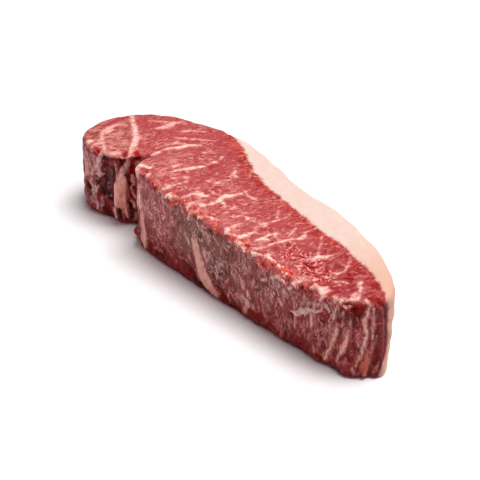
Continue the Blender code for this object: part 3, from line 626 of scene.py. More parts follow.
# The face's veins stop at the wall, and the wall's own are a little wider than drawn.
face_depth = face_depth - 5.0 * ramp(wall, 0.3, 0.9) - 0.25 * ramp(x, 45.0, 60.0)
wall_depth = np.where(wall_depth > -3.0, 0.15 + (1.0 + 0.3 * wall) * wall_depth, wall_depth)
vein = np.maximum(face_depth, wall_depth)
vein_pale = np.where(face_depth > wall_depth, face_pale, wall_pale)
silver_depth, silver_tone = depth_in(on_steak(SILVER) + BACK_TISSUE)
ruddy_depth, ruddy_tone_and_light = depth_in(on_steak(RUDDY_FAT_AND_LIGHT))
ruddy_depth = np.where(ruddy_depth > -3.0, 0.1 + 1.3 * ruddy_depth, ruddy_depth)
torn_and_lit_depth, torn_and_lit_tone = depth_in(on_steak(TORN_AND_GLINTS))
blood_and_shade_depth, blood_and_shade_tone = depth_in(on_steak(BLOOD_AND_SHADE))
hollow_shade_depth, hollow_shade_tone = depth_in(on_steak(HOLLOW_SHADE))
silver = silver_tone * ramp(silver_depth, -1.2, 0.8)
torn_and_lit = torn_and_lit_tone * ramp(torn_and_lit_depth, -1.0, 0.6)
blood_and_shade = ramp(blood_and_shade_depth, -1.0, 0.8)
hollow_shade = hollow_shade_tone * ramp(hollow_shade_depth, -1.6, 1.0)

# The ragged front edge, where the knife has torn the meat: a band 7 mm wide on the face, 4 to 7 mm high.
along_edge = np.arange(-46.0, 101.0, 3.0)
near_edge = [(np.abs(x - place) < 2.0) & (z > rim - 4.0) for place in along_edge]
front_line = np.interp(x, along_edge, [y[band].min() for band in near_edge])
torn_reach = 4.2 + 3.0 * ramp(x, -45.0, -38.0) * (1.0 - ramp(x, -6.0, 6.0))
from_edge = np.maximum((y - front_line - 1.5) / 5.5, (rim - z - 1.0) / torn_reach)
ragged = upper * (1.0 - ramp(from_edge, 0.3, 1.0))
ragged = ragged * ramp(x, -47.0, -40.0) * (1.0 - ramp(x, 96.0, 101.0))
crag = rough((3.6, 3.0, 2.6), 7.0) + 0.6 * rough((1.5, 1.5, 1.5), 4.0)

# The grainy patch near the tail, 40 by 18 mm, where the lean has broken into crumbs, and traces elsewhere.
from_patch = np.hypot((x - 60.0) / 20.0, (y + 14.0) / 9.0) + 0.7 * rough((6.0, 6.0, 6.0), 1.0)
traces = 0.3 * ramp(x, -5.0, 25.0) * ramp(rough((8.0, 8.0, 8.0), 6.0), -0.2, 0.3)
grainy = face * np.maximum(0.85 * (1.0 - ramp(from_patch, 0.3, 1.3)), traces)

# The relief, outwards: bundles of fibre down the wall's lean, and a broad unevenness of the whole wall.
lift = 0.45 * wall * ((1.0 - cap) * rough((2.6, 2.6, 12.0)) + rough((9.0, 9.0, 16.0), 5.0))
# A low nap on the cut faces' lean, knobs on the side muscle's wall, and lumps on the cap at the tail.
lift += 0.2 * face * (1.0 - cap) * rough((1.6, 3.4, 6.0), 3.0)
knobs = 0.6 * rough((3.4, 3.4, 6.0), 9.0) + 0.3 * rough((1.5, 1.5, 3.0), 8.0)
lift += wall * ramp(-x, 56.0, 62.0) * ramp(-y, 5.0, 15.0) * knobs
lift += 0.8 * wall * ramp(fat_cap, 0.0, 1.0) * ramp(x, 86.0, 98.0) * rough((8.0, 8.0, 6.5), 15.0)
# Crags of torn meat, crumbs of the grainy patch, and fat and tissue that stand up from the lean.
lift += 1.6 * ragged * crag + 0.5 * torn_and_lit + 0.35 * grainy * rough((1.8, 1.8, 1.8), 6.0)
lift += 0.14 * face * ramp(vein, -0.4, 0.6)
lift += wall * (0.5 * ramp(wall_depth, 0.0, 2.6) + 0.2 * silver + 1.3 * ramp(ruddy_depth, -0.8, 1.0))
# A crease along the cap's inner edge, dents under the wet meat and its painted shade, and the hollows under
# the painted shade.
lift -= 0.25 * np.exp(-((fat_cap / 0.7) ** 2)) + (0.4 + 0.9 * wall) * blood_and_shade
lift -= (1.8 - ramp(x, 40.0, 60.0)) * hollow_shade * wall
# A small flap of meat hangs out by the notch, 9 mm above the table.
lift += 2.6 * np.exp(-(((x + 47.4) / 2.2) ** 2) - ((z - 8.6) / 2.4) ** 2) * wall * ramp(-y, 22.0, 28.0)
# What lies on the table is only ever pressed in.
resting = (z < 0.6) & (facing[:, 2] < -0.5)
lift[resting] = -np.abs(lift[resting]) * 0.5
spots = spots + facing * lift[:, None]
# Along its middle the cap's outside is drawn in a little.
spots[:, 1] -= 1.8 * ramp(y, 6.0, 30.0) * ramp(x, -6.0, 14.0) * (1.0 - ramp(x, 56.0, 76.0))
steak.data.vertices.foreach_set("co", (spots * MM).astype(np.float32).ravel())

# What the material reads at each place.
for name, field in (
    ("fat_cap", np.clip(fat_cap, -20.0, 20.0)),
    ("vein", vein),
    ("vein_pale", vein_pale),
    ("wall", wall),
    ("dry_skin", dry_skin),
    ("side_muscle", side_muscle),
    ("silver", silver),
    ("ruddy_fat_and_light", ruddy_depth),
    ("ruddy_pale_and_light", ruddy_tone_and_light),
    ("torn_and_lit", np.maximum(torn_and_lit * 0.8, 0.6 * ragged * ramp(rough((7.0, 7.0, 7.0), 2.0), -0.4, 0.3))),
    ("crag", np.clip(crag, -1.0, 1.0)),
    ("blood_and_shade", blood_and_shade),
    ("blood_and_shade_bright", blood_and_shade_tone),
    ("hollow_shade", hollow_shade),
    ("grainy", grainy),
):
    layer = steak.data.attributes.new(name, "FLOAT", "POINT")
    layer.data.foreach_set("value", field.astype(np.float32))
steak.data.update()
bpy.ops.object.shade_smooth()

# The steak's flesh.
# Fresh-cut wet beef and its fat: red lean with fibres that run down through the slice, creamy fat in a cap,
# veins and fine marbling, and a duller, drier skin on the wall. It is one material, because one grows into
# the other.


def srgb(hex_colour):
    """The linear colour of an sRGB hex value such as "B4464A"."""
    values = [int(hex_colour[i : i + 2], 16) / 255 for i in (0, 2, 4)]
    return tuple(v / 12.92 if v <= 0.04045 else ((v + 0.055) / 1.055) ** 2.4 for v in values) + (1.0,)


def node(kind, wires, out=0, **settings):
    """Adds a node to the flesh with its settings, joins or sets its inputs, and gives one output."""
    made = flesh.nodes.new(kind)
    for key, value in settings.items():
        setattr(made, key, value)
    for socket, source in wires.items():
        if isinstance(source, bpy.types.NodeSocket):
            flesh.links.new(source, made.inputs[socket])
        else:
            made.inputs[socket].default_value = source
    return made.outputs[out]


beef = bpy.data.materials.new("raw_marbled_beef")
beef.use_nodes = True
flesh = beef.node_tree
shader = flesh.nodes["Principled BSDF"]

# The kinds of node that come again and again, a range with soft ends, and the mixing of colours.
MATH, VECTOR, RANGE, MIX = "ShaderNodeMath", "ShaderNodeVectorMath", "ShaderNodeMapRange", "ShaderNodeMix"
NOISE, MAPPING, SPLIT = "ShaderNodeTexNoise", "ShaderNodeMapping", "ShaderNodeSeparateXYZ"
SOFT = {"interpolation_type": "SMOOTHSTEP"}
COLOURS = {"out": 2, "data_type": "RGBA"}

READ = (
    "fat_cap", "vein", "vein_pale", "wall", "dry_skin", "ruddy_fat_and_light", "ruddy_pale_and_light", "side_muscle", "silver",
    "torn_and_lit", "crag", "blood_and_shade", "blood_and_shade_bright", "hollow_shade", "grainy",
)
(
    cap_at, vein_at, pale_at, wall_at, skin_at, ruddy_at, ruddy_pale_and_light_at, muscle_at, silver_at,
    torn_and_lit_at, crag_at, blood_and_shade_at, bright_at, hollow_shade_at, grainy_at,
) = [node("ShaderNodeAttribute", {}, "Fac", attribute_name=name) for name in READ]

# Places in mm, and the same places pushed about by a millimetre or two so that nothing runs straight.
here = node("ShaderNodeTexCoord", {}, "Object")
here = node(VECTOR, {0: here, "Scale": 1.0 / MM}, operation="SCALE")
push = node(NOISE, {"Vector": here, "Scale": 1 / 6, "Detail": 3.0}, "Color")
push = node(VECTOR, {0: push, 1: (0.5, 0.5, 0.5)}, operation="SUBTRACT")
bent = node(VECTOR, {0: push, 1: (7.0, 7.0, 7.0), 2: here}, operation="MULTIPLY_ADD")

# Broad patches 20 mm wide, blotches of 4 mm and grain of 0.7 mm.
patch = node(NOISE, {"Vector": here, "Scale": 1 / 20, "Detail": 1.0})
blotch = node(NOISE, {"Vector": bent, "Scale": 1 / 4, "Detail": 3.0})
grain = node(NOISE, {"Vector": here, "Scale": 1 / 0.7, "Detail": 2.0})

# Where a place is, in mm up and lengthways, and from 0 to 1 towards the tail or the thick end.
height = node(SPLIT, {0: bent}, "Z")
lengthways = node(SPLIT, {0: bent}, "X")
tail_end = node(RANGE, {"Value": lengthways, "From Min": 40.0, "From Max": 86.0}, **SOFT)
tailward = node(RANGE, {"Value": lengthways, "From Min": 24.0, "From Max": 52.0}, **SOFT)
thick_end = node(RANGE, {"Value": lengthways, "From Min": 0.0, "From Max": -24.0}, **SOFT)

# Muscle fibres, 0.9 mm thick bundles that run down through the slice.
along = node(MAPPING, {"Vector": bent, "Scale": (0.9, 0.9, 10.0)}, vector_type="TEXTURE")
fibre = node(NOISE, {"Vector": along, "Scale": 1.0, "Detail": 3.0})

# Fine marbling in the cut faces: sheets 1.7 mm thick that run across the eye, a little slanted, and down
# through the slice, and finer flecks between them. Both crowd in patches and towards the front edge.
turned = (0.0, 0.0, math.radians(-18))
across = node(
    MAPPING, {"Vector": bent, "Rotation": turned, "Scale": (1.7, 5.5, 7.0)}, vector_type="TEXTURE"
)
sheets = node(NOISE, {"Vector": across, "Scale": 1.0, "Detail": 4.0, "Roughness": 0.62})
short = node(MAPPING, {"Vector": bent, "Rotation": turned, "Scale": (1.1, 2.8, 4.0)}, vector_type="TEXTURE")
flecks = node(NOISE, {"Vector": short, "Scale": 1.0, "Detail": 2.0}, "Color")
flecks = node(SPLIT, {0: flecks}, "X")
crowd = node(MATH, {0: patch, 1: 0.3, 2: -0.15}, operation="MULTIPLY_ADD")
frontways = node(SPLIT, {0: bent}, "Y")
frontways = node(RANGE, {"Value": frontways, "From Min": -8.0, "From Max": -26.0, "To Max": 0.04})
crowd_face = node(MATH, {0: crowd, 1: frontways}, operation="ADD")
sheets_here = node(MATH, {0: sheets, 1: crowd_face}, operation="ADD")
flecks_here = node(MATH, {0: flecks, 1: crowd_face}, operation="ADD")
fine_sheets = node(RANGE, {"Value": sheets_here, "From Min": 0.53, "From Max": 0.7, "To Max": 0.65}, **SOFT)
fine_flecks = node(
    RANGE, {"Value": flecks_here, "From Min": 0.57, "From Max": 0.66, "To Max": 0.65}, **SOFT
)
fine = node(MATH, {0: fine_sheets, 1: fine_flecks}, operation="MAXIMUM")
# On the wall the marbling shows as blotches 1 to 2 mm wide and up to 6 mm tall, joined here and there by a
# lace, with dashes between them.
tall = node(MAPPING, {"Vector": bent, "Scale": (2.0, 2.0, 4.6)}, vector_type="TEXTURE")
wall_noise = node(NOISE, {"Vector": tall, "Scale": 1.0, "Detail": 2.5, "Roughness": 0.55}, "Color")
blots = node(SPLIT, {0: wall_noise}, "X")
lace = node(SPLIT, {0: wall_noise}, "Y")
lace = node(MATH, {0: lace, 1: 0.5}, operation="SUBTRACT")
lace = node(MATH, {0: lace}, operation="ABSOLUTE")
lace = node(RANGE, {"Value": lace, "From Min": 0.03, "From Max": 0.005, "To Max": 0.09}, **SOFT)
blots = node(MATH, {0: blots, 1: lace}, operation="ADD")
bunch = node(NOISE, {"Vector": here, "Scale": 1 / 7, "Detail": 1.0}, "Color")
bunch = node(SPLIT, {0: bunch}, "Z")
crowd_wall = node(MATH, {0: bunch, 1: 0.35, 2: crowd}, operation="MULTIPLY_ADD")
crowd_wall = node(MATH, {0: crowd_wall, 1: 0.175}, operation="SUBTRACT")
blots = node(MATH, {0: blots, 1: crowd_wall}, operation="ADD")
fine_wall = node(RANGE, {"Value": blots, "From Min": 0.61, "From Max": 0.69, "To Max": 0.65}, **SOFT)
dashes = node(MAPPING, {"Vector": bent, "Scale": (0.9, 0.9, 1.9)}, vector_type="TEXTURE")
dashes = node(NOISE, {"Vector": dashes, "Scale": 1.0, "Detail": 3.0})
dashes = node(MATH, {0: dashes, 1: crowd_wall}, operation="ADD")
dashes = node(RANGE, {"Value": dashes, "From Min": 0.59, "From Max": 0.66, "To Max": 0.62}, **SOFT)
fine_wall = node(MATH, {0: fine_wall, 1: dashes}, operation="MAXIMUM")
# At the thick end most of it gives way to small specks.
specks = node(NOISE, {"Vector": bent, "Scale": 1 / 1.9, "Detail": 1.0}, "Color")
specks = node(SPLIT, {0: specks}, "Y")
specks = node(MATH, {0: crowd_wall, 1: 0.6, 2: specks}, operation="MULTIPLY_ADD")
specks = node(RANGE, {"Value": specks, "From Min": 0.64, "From Max": 0.7, "To Max": 0.8}, **SOFT)
specks = node(MATH, {0: specks, 1: thick_end}, operation="MULTIPLY")
left_over = node(MATH, {0: thick_end, 1: -0.64, 2: 1.0}, operation="MULTIPLY_ADD")
fine_wall = node(MATH, {0: fine_wall, 1: left_over}, operation="MULTIPLY")
fine_wall = node(MATH, {0: fine_wall, 1: specks}, operation="MAXIMUM")
# Towards the tail it is thin streaks along the fibres.
streaks = node(MATH, {0: crowd_wall, 1: 0.7, 2: fibre}, operation="MULTIPLY_ADD")
streaks = node(RANGE, {"Value": streaks, "From Min": 0.54, "From Max": 0.66, "To Max": 0.6}, **SOFT)
streaks = node(MATH, {0: fine_wall, 1: 0.35, 2: streaks}, operation="MULTIPLY_ADD")
fine_wall = node(MIX, {"Factor": tailward, "A": fine_wall, "B": streaks})
fine = node(MIX, {"Factor": wall_at, "A": fine, "B": fine_wall})

# Dark flecks in the lean, shaped like the marbling's but larger, about twice as large on the wall.
dark = node(MAPPING, {"Vector": short, "Location": (31.0, 7.0, 3.0)}, vector_type="POINT")
dark = node(NOISE, {"Vector": dark, "Scale": 0.8, "Detail": 2.0})
dark = node(RANGE, {"Value": dark, "From Min": 0.53, "From Max": 0.68, "To Max": 0.55}, **SOFT)
dark_wall = node(MAPPING, {"Vector": tall, "Location": (5.0, 17.0, 3.0)}, vector_type="POINT")
dark_wall = node(NOISE, {"Vector": dark_wall, "Scale": 0.55, "Detail": 3.0})
dark_wall = node(RANGE, {"Value": dark_wall, "From Min": 0.45, "From Max": 0.66, "To Max": 0.65}, **SOFT)
dark_shown = node(MATH, {0: thick_end, 1: -0.3, 2: 1.0}, operation="MULTIPLY_ADD")
dark_wall = node(MATH, {0: dark_wall, 1: dark_shown}, operation="MULTIPLY")

# The drawn veins' edges fray along the fine marbling, less on the wall, by the tail and at the seam.
fray = node(MATH, {0: flecks, 1: 3.0, 2: -1.5}, operation="MULTIPLY_ADD")
fray = node(MATH, {0: sheets, 1: 3.0, 2: fray}, operation="MULTIPLY_ADD")
fray = node(MATH, {0: fray, 1: 1.5}, operation="SUBTRACT")
wall_fray = node(MATH, {0: wall_at, 1: -0.25, 2: 1.0}, operation="MULTIPLY_ADD")
drawn_fray = node(MATH, {0: fray, 1: wall_fray}, operation="MULTIPLY")
seam_end = node(RANGE, {"Value": lengthways, "From Min": -58.0, "From Max": -66.0}, **SOFT)
steady = node(MATH, {0: tail_end, 1: seam_end}, operation="MAXIMUM")
steady = node(MATH, {0: steady, 1: -0.4, 2: 1.0}, operation="MULTIPLY_ADD")
drawn_fray = node(MATH, {0: drawn_fray, 1: steady}, operation="MULTIPLY")
# On the wall the fibres split them into strands.
split = node(MATH, {0: fibre, 1: 3.0, 2: -1.4}, operation="MULTIPLY_ADD")
drawn_fray = node(MATH, {0: split, 1: wall_at, 2: drawn_fray}, operation="MULTIPLY_ADD")
vein_edge = node(MATH, {0: vein_at, 1: drawn_fray}, operation="ADD")
# A vein has a faint halo, and strands of lean show through it.
vein_halo = node(RANGE, {"Value": vein_edge, "From Min": -1.2, "From Max": 0.2, "To Max": 0.25}, **SOFT)
vein_full = node(MATH, {0: wall_at, 1: 0.7, 2: 0.7}, operation="MULTIPLY_ADD")
vein_mask = node(RANGE, {"Value": vein_edge, "From Min": -0.4, "From Max": vein_full}, **SOFT)
strands = node(MIX, {"Factor": wall_at, "A": flecks, "B": fibre})
strands = node(RANGE, {"Value": strands, "From Min": 0.36, "From Max": 0.52, "To Min": 0.6}, **SOFT)
vein_mask = node(MATH, {0: vein_mask, 1: strands}, operation="MULTIPLY")
vein_mask = node(MATH, {0: vein_mask, 1: vein_halo}, operation="MAXIMUM")
# The cap's inner edge wanders by a millimetre and frays a little.
cap_fray = node(MATH, {0: blotch, 1: 3.0, 2: -1.5}, operation="MULTIPLY_ADD")
cap_fray = node(MATH, {0: fray, 1: 0.35, 2: cap_fray}, operation="MULTIPLY_ADD")
cap_edge = node(MATH, {0: cap_at, 1: cap_fray}, operation="ADD")
cap_mask = node(RANGE, {"Value": cap_edge, "From Min": -0.9, "From Max": 1.1}, **SOFT)

# Lean on the cut face: cherry red with paler blotches, deeper red by the tail, redder and brighter next to
# the fat cap, and duller on the side muscle.
lean = node(MIX, {"Factor": blotch, "A": srgb("9A282A"), "B": srgb("CC6262")}, **COLOURS)
near_cap = node(RANGE, {"Value": cap_at, "From Min": -9.0, "From Max": -2.0, "To Max": 0.75}, **SOFT)
tail_red = node(MIX, {"Factor": blotch, "A": srgb("80121A"), "B": srgb("B03A3E")}, **COLOURS)
lean = node(MIX, {"Factor": tail_end, "A": lean, "B": tail_red}, **COLOURS)
streak = node(RANGE, {"Value": sheets, "From Min": 0.38, "From Max": 0.62}, **SOFT)
bright_red = node(MIX, {"Factor": streak, "A": srgb("8E1A1A"), "B": srgb("D85446")}, **COLOURS)
cap_reach = node(MATH, {0: tail_end, 1: -0.5, 2: 1.0}, operation="MULTIPLY_ADD")
near_cap = node(MATH, {0: near_cap, 1: cap_reach}, operation="MULTIPLY")
lean = node(MIX, {"Factor": near_cap, "A": lean, "B": bright_red}, **COLOURS)
side_lean = node(MIX, {"Factor": streak, "A": srgb("A04440"), "B": srgb("C6766C")}, **COLOURS)
lean = node(MIX, {"Factor": muscle_at, "A": lean, "B": side_lean}, **COLOURS)
lean = node(MIX, {"Factor": dark, "A": lean, "B": srgb("861C1C")}, **COLOURS)

# Lean on the wall: a dry mauve-brown skin, greyest along the middle, and deep red near the table, which is
# partly painted shade.
height_here = node(MATH, {0: thick_end, 1: -6.0, 2: height}, operation="MULTIPLY_ADD")
low = node(RANGE, {"Value": height_here, "From Min": 4.0, "From Max": 26.0}, **SOFT)
dull = node(MIX, {"Factor": patch, "A": srgb("803C36"), "B": srgb("A24C4A")}, **COLOURS)
dull = node(MIX, {"Factor": thick_end, "A": dull, "B": srgb("A2444A")}, **COLOURS)
grey_mid = node(RANGE, {"Value": lengthways, "From Min": -24.0, "From Max": -6.0}, **SOFT)
grey_end = node(RANGE, {"Value": lengthways, "From Min": 38.0, "From Max": 14.0}, **SOFT)
grey_mid = node(MATH, {0: grey_mid, 1: grey_end}, operation="MULTIPLY")
grey_mid = node(MATH, {0: grey_mid, 1: 0.7}, operation="MULTIPLY")
dull = node(MIX, {"Factor": grey_mid, "A": dull, "B": srgb("785048")}, **COLOURS)
dull = node(MIX, {"Factor": tail_end, "A": dull, "B": srgb("8E2426")}, **COLOURS)
skin_tone = node(MIX, {"Factor": low, "A": srgb("841616"), "B": dull}, **COLOURS)
skin_tone = node(MIX, {"Factor": muscle_at, "A": skin_tone, "B": srgb("8A2228")}, **COLOURS)
skin_tone = node(MIX, {"Factor": dark_wall, "A": skin_tone, "B": srgb("480A0A")}, **COLOURS)
wall_edge = node(MATH, {0: blotch, 1: 1.6, 2: -0.8}, operation="MULTIPLY_ADD")
wall_edge = node(MATH, {0: wall_edge, 1: skin_at}, operation="ADD")
wall_edge = node(MATH, {0: fray, 1: 0.2, 2: wall_edge}, operation="MULTIPLY_ADD")
wall_mask = node(RANGE, {"Value": wall_edge, "From Min": 0.3, "From Max": 0.65}, **SOFT)
lean = node(MIX, {"Factor": wall_mask, "A": lean, "B": skin_tone}, **COLOURS)

# Torn meat: red to orange crumbs, paler on their raised tops as painted highlight and darker red in the
# gaps between them, partly as painted shade.
crumb = node(MATH, {0: grain, 1: 1.2, 2: -0.6}, operation="MULTIPLY_ADD")
crumb = node(MATH, {0: crag_at, 1: crumb}, operation="ADD")
crumb_tone_and_light = node(RANGE, {"Value": crumb, "From Min": -0.5, "From Max": 0.1}, **SOFT)
crumb_tone_and_light = node(MIX, {"Factor": crumb_tone_and_light, "A": srgb("9E2622"), "B": srgb("DC6254")}, **COLOURS)
crumb = node(MATH, {0: thick_end, 1: -0.08, 2: crumb}, operation="MULTIPLY_ADD")
crumb = node(RANGE, {"Value": crumb, "From Min": 0.12, "From Max": 0.5}, **SOFT)
crumb_tone_and_light = node(MIX, {"Factor": crumb, "A": crumb_tone_and_light, "B": srgb("FBD6C6")}, **COLOURS)
# The grainy patch: pale granules 1 mm wide with dark red gaps.
granule = node(NOISE, {"Vector": bent, "Scale": 1 / 1.5, "Detail": 2.0}, "Color")
granule = node(SPLIT, {0: granule}, "X")
grainy_tone = node(RANGE, {"Value": granule, "From Min": 0.36, "From Max": 0.5}, **SOFT)
grainy_tone = node(MIX, {"Factor": grainy_tone, "A": srgb("84181A"), "B": srgb("BE4A4A")}, **COLOURS)
granule = node(RANGE, {"Value": granule, "From Min": 0.54, "From Max": 0.63}, **SOFT)
grainy_tone = node(MIX, {"Factor": granule, "A": grainy_tone, "B": srgb("ECA89C")}, **COLOURS)
# Painted shade in the hollows, mottled from almost black to plum. All of these have edges that the marbling
# breaks up.
roughly = node(MATH, {0: fray, 1: 0.25}, operation="MULTIPLY")
mottle = node(NOISE, {"Vector": tall, "Scale": 0.9, "Detail": 3.0})
mottle = node(RANGE, {"Value": mottle, "From Min": 0.44, "From Max": 0.68}, **SOFT)
hollow_shade_tone = node(MIX, {"Factor": mottle, "A": srgb("380106"), "B": srgb("7A2A32")}, **COLOURS)
for place, tint in ((hollow_shade_at, hollow_shade_tone), (grainy_at, grainy_tone), (torn_and_lit_at, crumb_tone_and_light)):
    edge = node(MATH, {0: place, 1: roughly}, operation="ADD")
    edge = node(RANGE, {"Value": edge, "From Min": 0.2, "From Max": 0.75}, **SOFT)
    lean = node(MIX, {"Factor": edge, "A": lean, "B": tint}, **COLOURS)
# Wet meat, from almost black to bright red and on to rosy; where it lies in hollows it is painted shade.
wet_and_shade_tone = node(MIX, {"Factor": bright_at, "A": srgb("3C0404"), "B": srgb("C01C18")}, **COLOURS)
rosy = node(MATH, {0: bright_at, 1: 1.0}, operation="SUBTRACT", use_clamp=True)
wet_and_shade_tone = node(MIX, {"Factor": rosy, "A": wet_and_shade_tone, "B": srgb("AE404E")}, **COLOURS)
wet_and_shade = node(MATH, {0: blood_and_shade_at, 1: roughly}, operation="ADD")
wet_and_shade = node(RANGE, {"Value": wet_and_shade, "From Min": 0.2, "From Max": 0.7}, **SOFT)
lean = node(MIX, {"Factor": wet_and_shade, "A": lean, "B": wet_and_shade_tone}, **COLOURS)
# All the lean is lighter and darker by its grain, most on the wall and the side muscle.
grain_off = node(MATH, {0: grain, 1: 0.5}, operation="SUBTRACT")
shade = node(MATH, {0: wall_at, 1: 1.3, 2: 0.75}, operation="MULTIPLY_ADD")
shade = node(MATH, {0: shade, 1: muscle_at}, operation="ADD")
shade = node(MATH, {0: grain_off, 1: shade, 2: 0.97}, operation="MULTIPLY_ADD")
lean = node(VECTOR, {0: lean, "Scale": shade}, operation="SCALE")
# On the wall so it is by its fibres, fainter at the thick end and along the middle; its foot is darker, as
# painted shade where it meets the table.
lines = node(RANGE, {"Value": fibre, "From Min": 0.3, "From Max": 0.7, "To Min": 0.55, "To Max": 1.5})
foot_shade = node(RANGE, {"Value": height, "From Min": 0.5, "From Max": 5.5, "To Min": 0.6})
calm_lines = node(MATH, {0: thick_end, 1: -0.5, 2: 1.0}, operation="MULTIPLY_ADD")
calm_lines = node(MATH, {0: grey_mid, 1: -0.5, 2: calm_lines}, operation="MULTIPLY_ADD")
calm_lines = node(MATH, {0: calm_lines, 1: wall_at}, operation="MULTIPLY")
lines = node(MIX, {"Factor": calm_lines, "A": 1.0, "B": lines})
lines = node(MATH, {0: lines, 1: foot_shade}, operation="MULTIPLY")
lean = node(VECTOR, {0: lean, "Scale": lines}, operation="SCALE")

# Fat in the cap: cream, with pink blushes on its outside, and more tan by the tail.
cream = node(MIX, {"Factor": blotch, "A": srgb("DFBFB1"), "B": srgb("EAD3C7")}, **COLOURS)
blush = node(RANGE, {"Value": patch, "From Min": 0.4, "From Max": 0.75, "To Max": 0.7})
blush = node(MATH, {0: blush, 1: wall_at}, operation="MULTIPLY")
cream = node(MIX, {"Factor": blush, "A": cream, "B": srgb("E0A898")}, **COLOURS)
cap_tail = node(RANGE, {"Value": lengthways, "From Min": 56.0, "From Max": 96.0}, **SOFT)
tail_cream = node(MIX, {"Factor": wall_at, "A": srgb("E2B49E"), "B": srgb("DCA892")}, **COLOURS)
cream = node(MIX, {"Factor": cap_tail, "A": cream, "B": tail_cream}, **COLOURS)
# Fat in the veins: pink where it is thin, and paler towards the middle of a vein.
pink = node(MIX, {"Factor": wall_at, "A": srgb("D86C64"), "B": srgb("BE6A60")}, **COLOURS)
pale = node(MIX, {"Factor": wall_at, "A": srgb("F6D0C4"), "B": srgb("FAC2B2")}, **COLOURS)
core_low = node(MATH, {0: wall_at, 1: 0.15, 2: 0.4}, operation="MULTIPLY_ADD")
core = node(
    RANGE, {"Value": vein_edge, "From Min": 0.0, "From Max": 1.9, "To Min": core_low, "To Max": 1.15},
    **SOFT,
)
core = node(MATH, {0: pale_at, 1: core}, operation="MULTIPLY", use_clamp=True)
vein_fat = node(MIX, {"Factor": core, "A": pink, "B": pale}, **COLOURS)
fat_shade = node(MATH, {0: grain_off, 1: 0.9, 2: 1.0}, operation="MULTIPLY_ADD")
vein_shade = node(MIX, {"Factor": wall_at, "A": 1.0, "B": fat_shade})
vein_fat = node(VECTOR, {0: vein_fat, "Scale": vein_shade}, operation="SCALE")
# Silvery tissue: a thin web.
tissue = node(MATH, {0: silver_at, 1: roughly}, operation="ADD")
tissue = node(RANGE, {"Value": tissue, "From Min": 0.25, "From Max": 0.75}, **SOFT)
web = node(NOISE, {"Vector": bent, "Scale": 1 / 3.2, "Detail": 2.0}, "Color")
web = node(SPLIT, {0: web}, "Y")
web = node(MATH, {0: web, 1: 0.5}, operation="SUBTRACT")
web = node(MATH, {0: web}, operation="ABSOLUTE")
web = node(RANGE, {"Value": web, "From Min": 0.08, "From Max": 0.02, "To Min": 0.55}, **SOFT)
tissue = node(MATH, {0: tissue, 1: web}, operation="MULTIPLY")
# Fat stained orange-pink, its paler and darker parts partly painted light and shade.
ruddy = node(MATH, {0: ruddy_at, 1: drawn_fray}, operation="ADD")
ruddy = node(RANGE, {"Value": ruddy, "From Min": -0.5, "From Max": 0.5, "To Max": 0.95}, **SOFT)
ruddy_pale_and_light = node(MATH, {0: blotch, 1: 0.6, 2: -0.3}, operation="MULTIPLY_ADD")
ruddy_pale_and_light = node(MATH, {0: ruddy_pale_and_light, 1: ruddy_pale_and_light_at}, operation="ADD", use_clamp=True)
ruddy_fat_and_light = node(MIX, {"Factor": ruddy_pale_and_light, "A": srgb("B2422E"), "B": srgb("FFBCAC")}, **COLOURS)
ruddy_fat_and_light = node(VECTOR, {0: ruddy_fat_and_light, "Scale": fat_shade}, operation="SCALE")
# The fine marbling gives way to wet, torn and grainy meat and to the painted shade in hollows, and thins
# out by the tail, and near the table as painted shade.
fine_shown = node(MATH, {0: 1.0, 1: blood_and_shade_at}, operation="SUBTRACT")
fine_shown = node(MATH, {0: hollow_shade_at, 1: -0.75, 2: fine_shown}, operation="MULTIPLY_ADD", use_clamp=True)
fine_shown = node(MATH, {0: fine_shown, 1: torn_and_lit_at}, operation="SUBTRACT", use_clamp=True)
fine_shown = node(MATH, {0: grainy_at, 1: -0.6, 2: fine_shown}, operation="MULTIPLY_ADD", use_clamp=True)
tail_wall = node(RANGE, {"Value": lengthways, "From Min": 82.0, "From Max": 94.0}, **SOFT)
tail_wall = node(MIX, {"Factor": wall_at, "A": tail_end, "B": tail_wall})
tail_wall = node(MATH, {0: muscle_at, 1: 0.8, 2: tail_wall}, operation="MULTIPLY_ADD")
fine_shown = node(MATH, {0: tail_wall, 1: -0.45, 2: fine_shown}, operation="MULTIPLY_ADD", use_clamp=True)
fine = node(MATH, {0: fine, 1: fine_shown}, operation="MULTIPLY")
# Near the table fewer pale flecks show, most of all on the tail's wall, as painted shade.
foot_shade_fine = node(RANGE, {"Value": height, "From Min": 1.0, "From Max": 7.0, "To Min": 0.3})
fine = node(MATH, {0: fine, 1: foot_shade_fine}, operation="MULTIPLY")
low_tail_shade = node(MATH, {0: low, 1: -0.5, 2: 0.5}, operation="MULTIPLY_ADD")
low_tail_shade = node(MATH, {0: low_tail_shade, 1: tailward}, operation="MULTIPLY")
low_tail_shade = node(MATH, {0: low_tail_shade, 1: wall_at}, operation="MULTIPLY")
low_tail_shade = node(MATH, {0: 1.0, 1: low_tail_shade}, operation="SUBTRACT")
fine = node(MATH, {0: fine, 1: low_tail_shade}, operation="MULTIPLY")
# The flecks are darker low on the wall, partly as painted shade near the table.
fine_tone = node(MIX, {"Factor": low, "A": srgb("D28C86"), "B": srgb("E8BCB6")}, **COLOURS)
fine_tone = node(MIX, {"Factor": wall_mask, "A": srgb("E89C92"), "B": fine_tone}, **COLOURS)

# The layers, from the lean up to the cap.
colour = node(MIX, {"Factor": fine, "A": lean, "B": fine_tone}, **COLOURS)
colour = node(MIX, {"Factor": tissue, "A": colour, "B": srgb("E4B6AE")}, **COLOURS)
colour = node(MIX, {"Factor": vein_mask, "A": colour, "B": vein_fat}, **COLOURS)
colour = node(MIX, {"Factor": ruddy, "A": colour, "B": ruddy_fat_and_light}, **COLOURS)
colour = node(MIX, {"Factor": cap_mask, "A": colour, "B": cream}, **COLOURS)

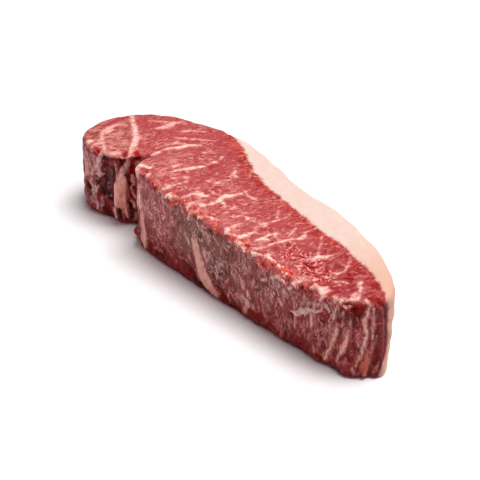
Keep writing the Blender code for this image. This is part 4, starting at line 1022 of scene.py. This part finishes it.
# Fat is a little duller than the wet lean and stands above it; fibres and grain catch the light.
fatty = node(MATH, {0: fine, 1: vein_mask}, operation="MAXIMUM")
fatty = node(MATH, {0: fatty, 1: cap_mask}, operation="MAXIMUM")
gloss = node(RANGE, {"Value": fatty, "To Min": 0.36, "To Max": 0.46})
relief = node(MATH, {0: fibre, 1: grain}, operation="ADD")
relief = node(MATH, {0: fatty, 1: 0.6, 2: relief}, operation="MULTIPLY_ADD")
bump = node("ShaderNodeBump", {"Height": relief, "Strength": 0.7, "Distance": 0.35 * MM})

flesh.links.new(colour, shader.inputs["Base Color"])
flesh.links.new(gloss, shader.inputs["Roughness"])
flesh.links.new(bump, shader.inputs["Normal"])
shader.inputs["IOR"].default_value = 1.4
shader.inputs["Specular IOR Level"].default_value = 0.15
shader.inputs["Subsurface Weight"].default_value = 0.06
shader.inputs["Subsurface Radius"].default_value = (1.0, 0.4, 0.3)
shader.inputs["Subsurface Scale"].default_value = 1.5 * MM

steak.data.materials.clear()
steak.data.materials.append(beef)
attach(steak, "root")
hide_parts("striploin_steak")

# The table: a plain white sweep, lit as in a studio.
# Broad light comes from almost overhead, a little behind and to the camera's right, so a short soft shadow
# lies in front of the steak. A low fill from the front opens up the wall. Paper gives the eye no gloss.
bpy.ops.object.select_all(action="DESELECT")
bpy.ops.mesh.primitive_plane_add(size=6.0, location=(0.0, 0.0, 0.0))
table = bpy.context.view_layer.objects.active
table.name = "white_table"
paper = bpy.data.materials.new("white_paper")
paper.use_nodes = True
matte = paper.node_tree.nodes["Principled BSDF"]
matte.inputs["Base Color"].default_value = srgb("F6F6F6")
matte.inputs["Roughness"].default_value = 1.0
matte.inputs["Specular IOR Level"].default_value = 0.0
table.data.materials.append(paper)

room = bpy.data.worlds.new("white_room")
room.use_nodes = True
glow = room.node_tree.nodes["Background"]
glow.inputs["Color"].default_value = srgb("FFEAF2")
glow.inputs["Strength"].default_value = 0.205
bpy.context.scene.world = room
bpy.context.scene.view_settings.view_transform = "Standard"

# Each lamp's place and width in metres, its power in watts and its tint.
for name, place, size, power, tint in (
    ("softbox", (0.26, 0.54, 2.3), 1.3, 65.0, "FFFFFF"),
    ("front_fill", (-0.7, -1.1, 0.55), 0.6, 2.6, "FFEFF5"),
):
    bpy.ops.object.light_add(type="AREA", location=place)
    lamp = bpy.context.view_layer.objects.active
    lamp.name = name
    lamp.data.size = size
    lamp.data.energy = power
    lamp.data.color = srgb(tint)[:3]
    towards = Vector((0.0, 0.0, 0.02)) - Vector(place)
    lamp.rotation_euler = towards.to_track_quat("-Z", "Y").to_euler()
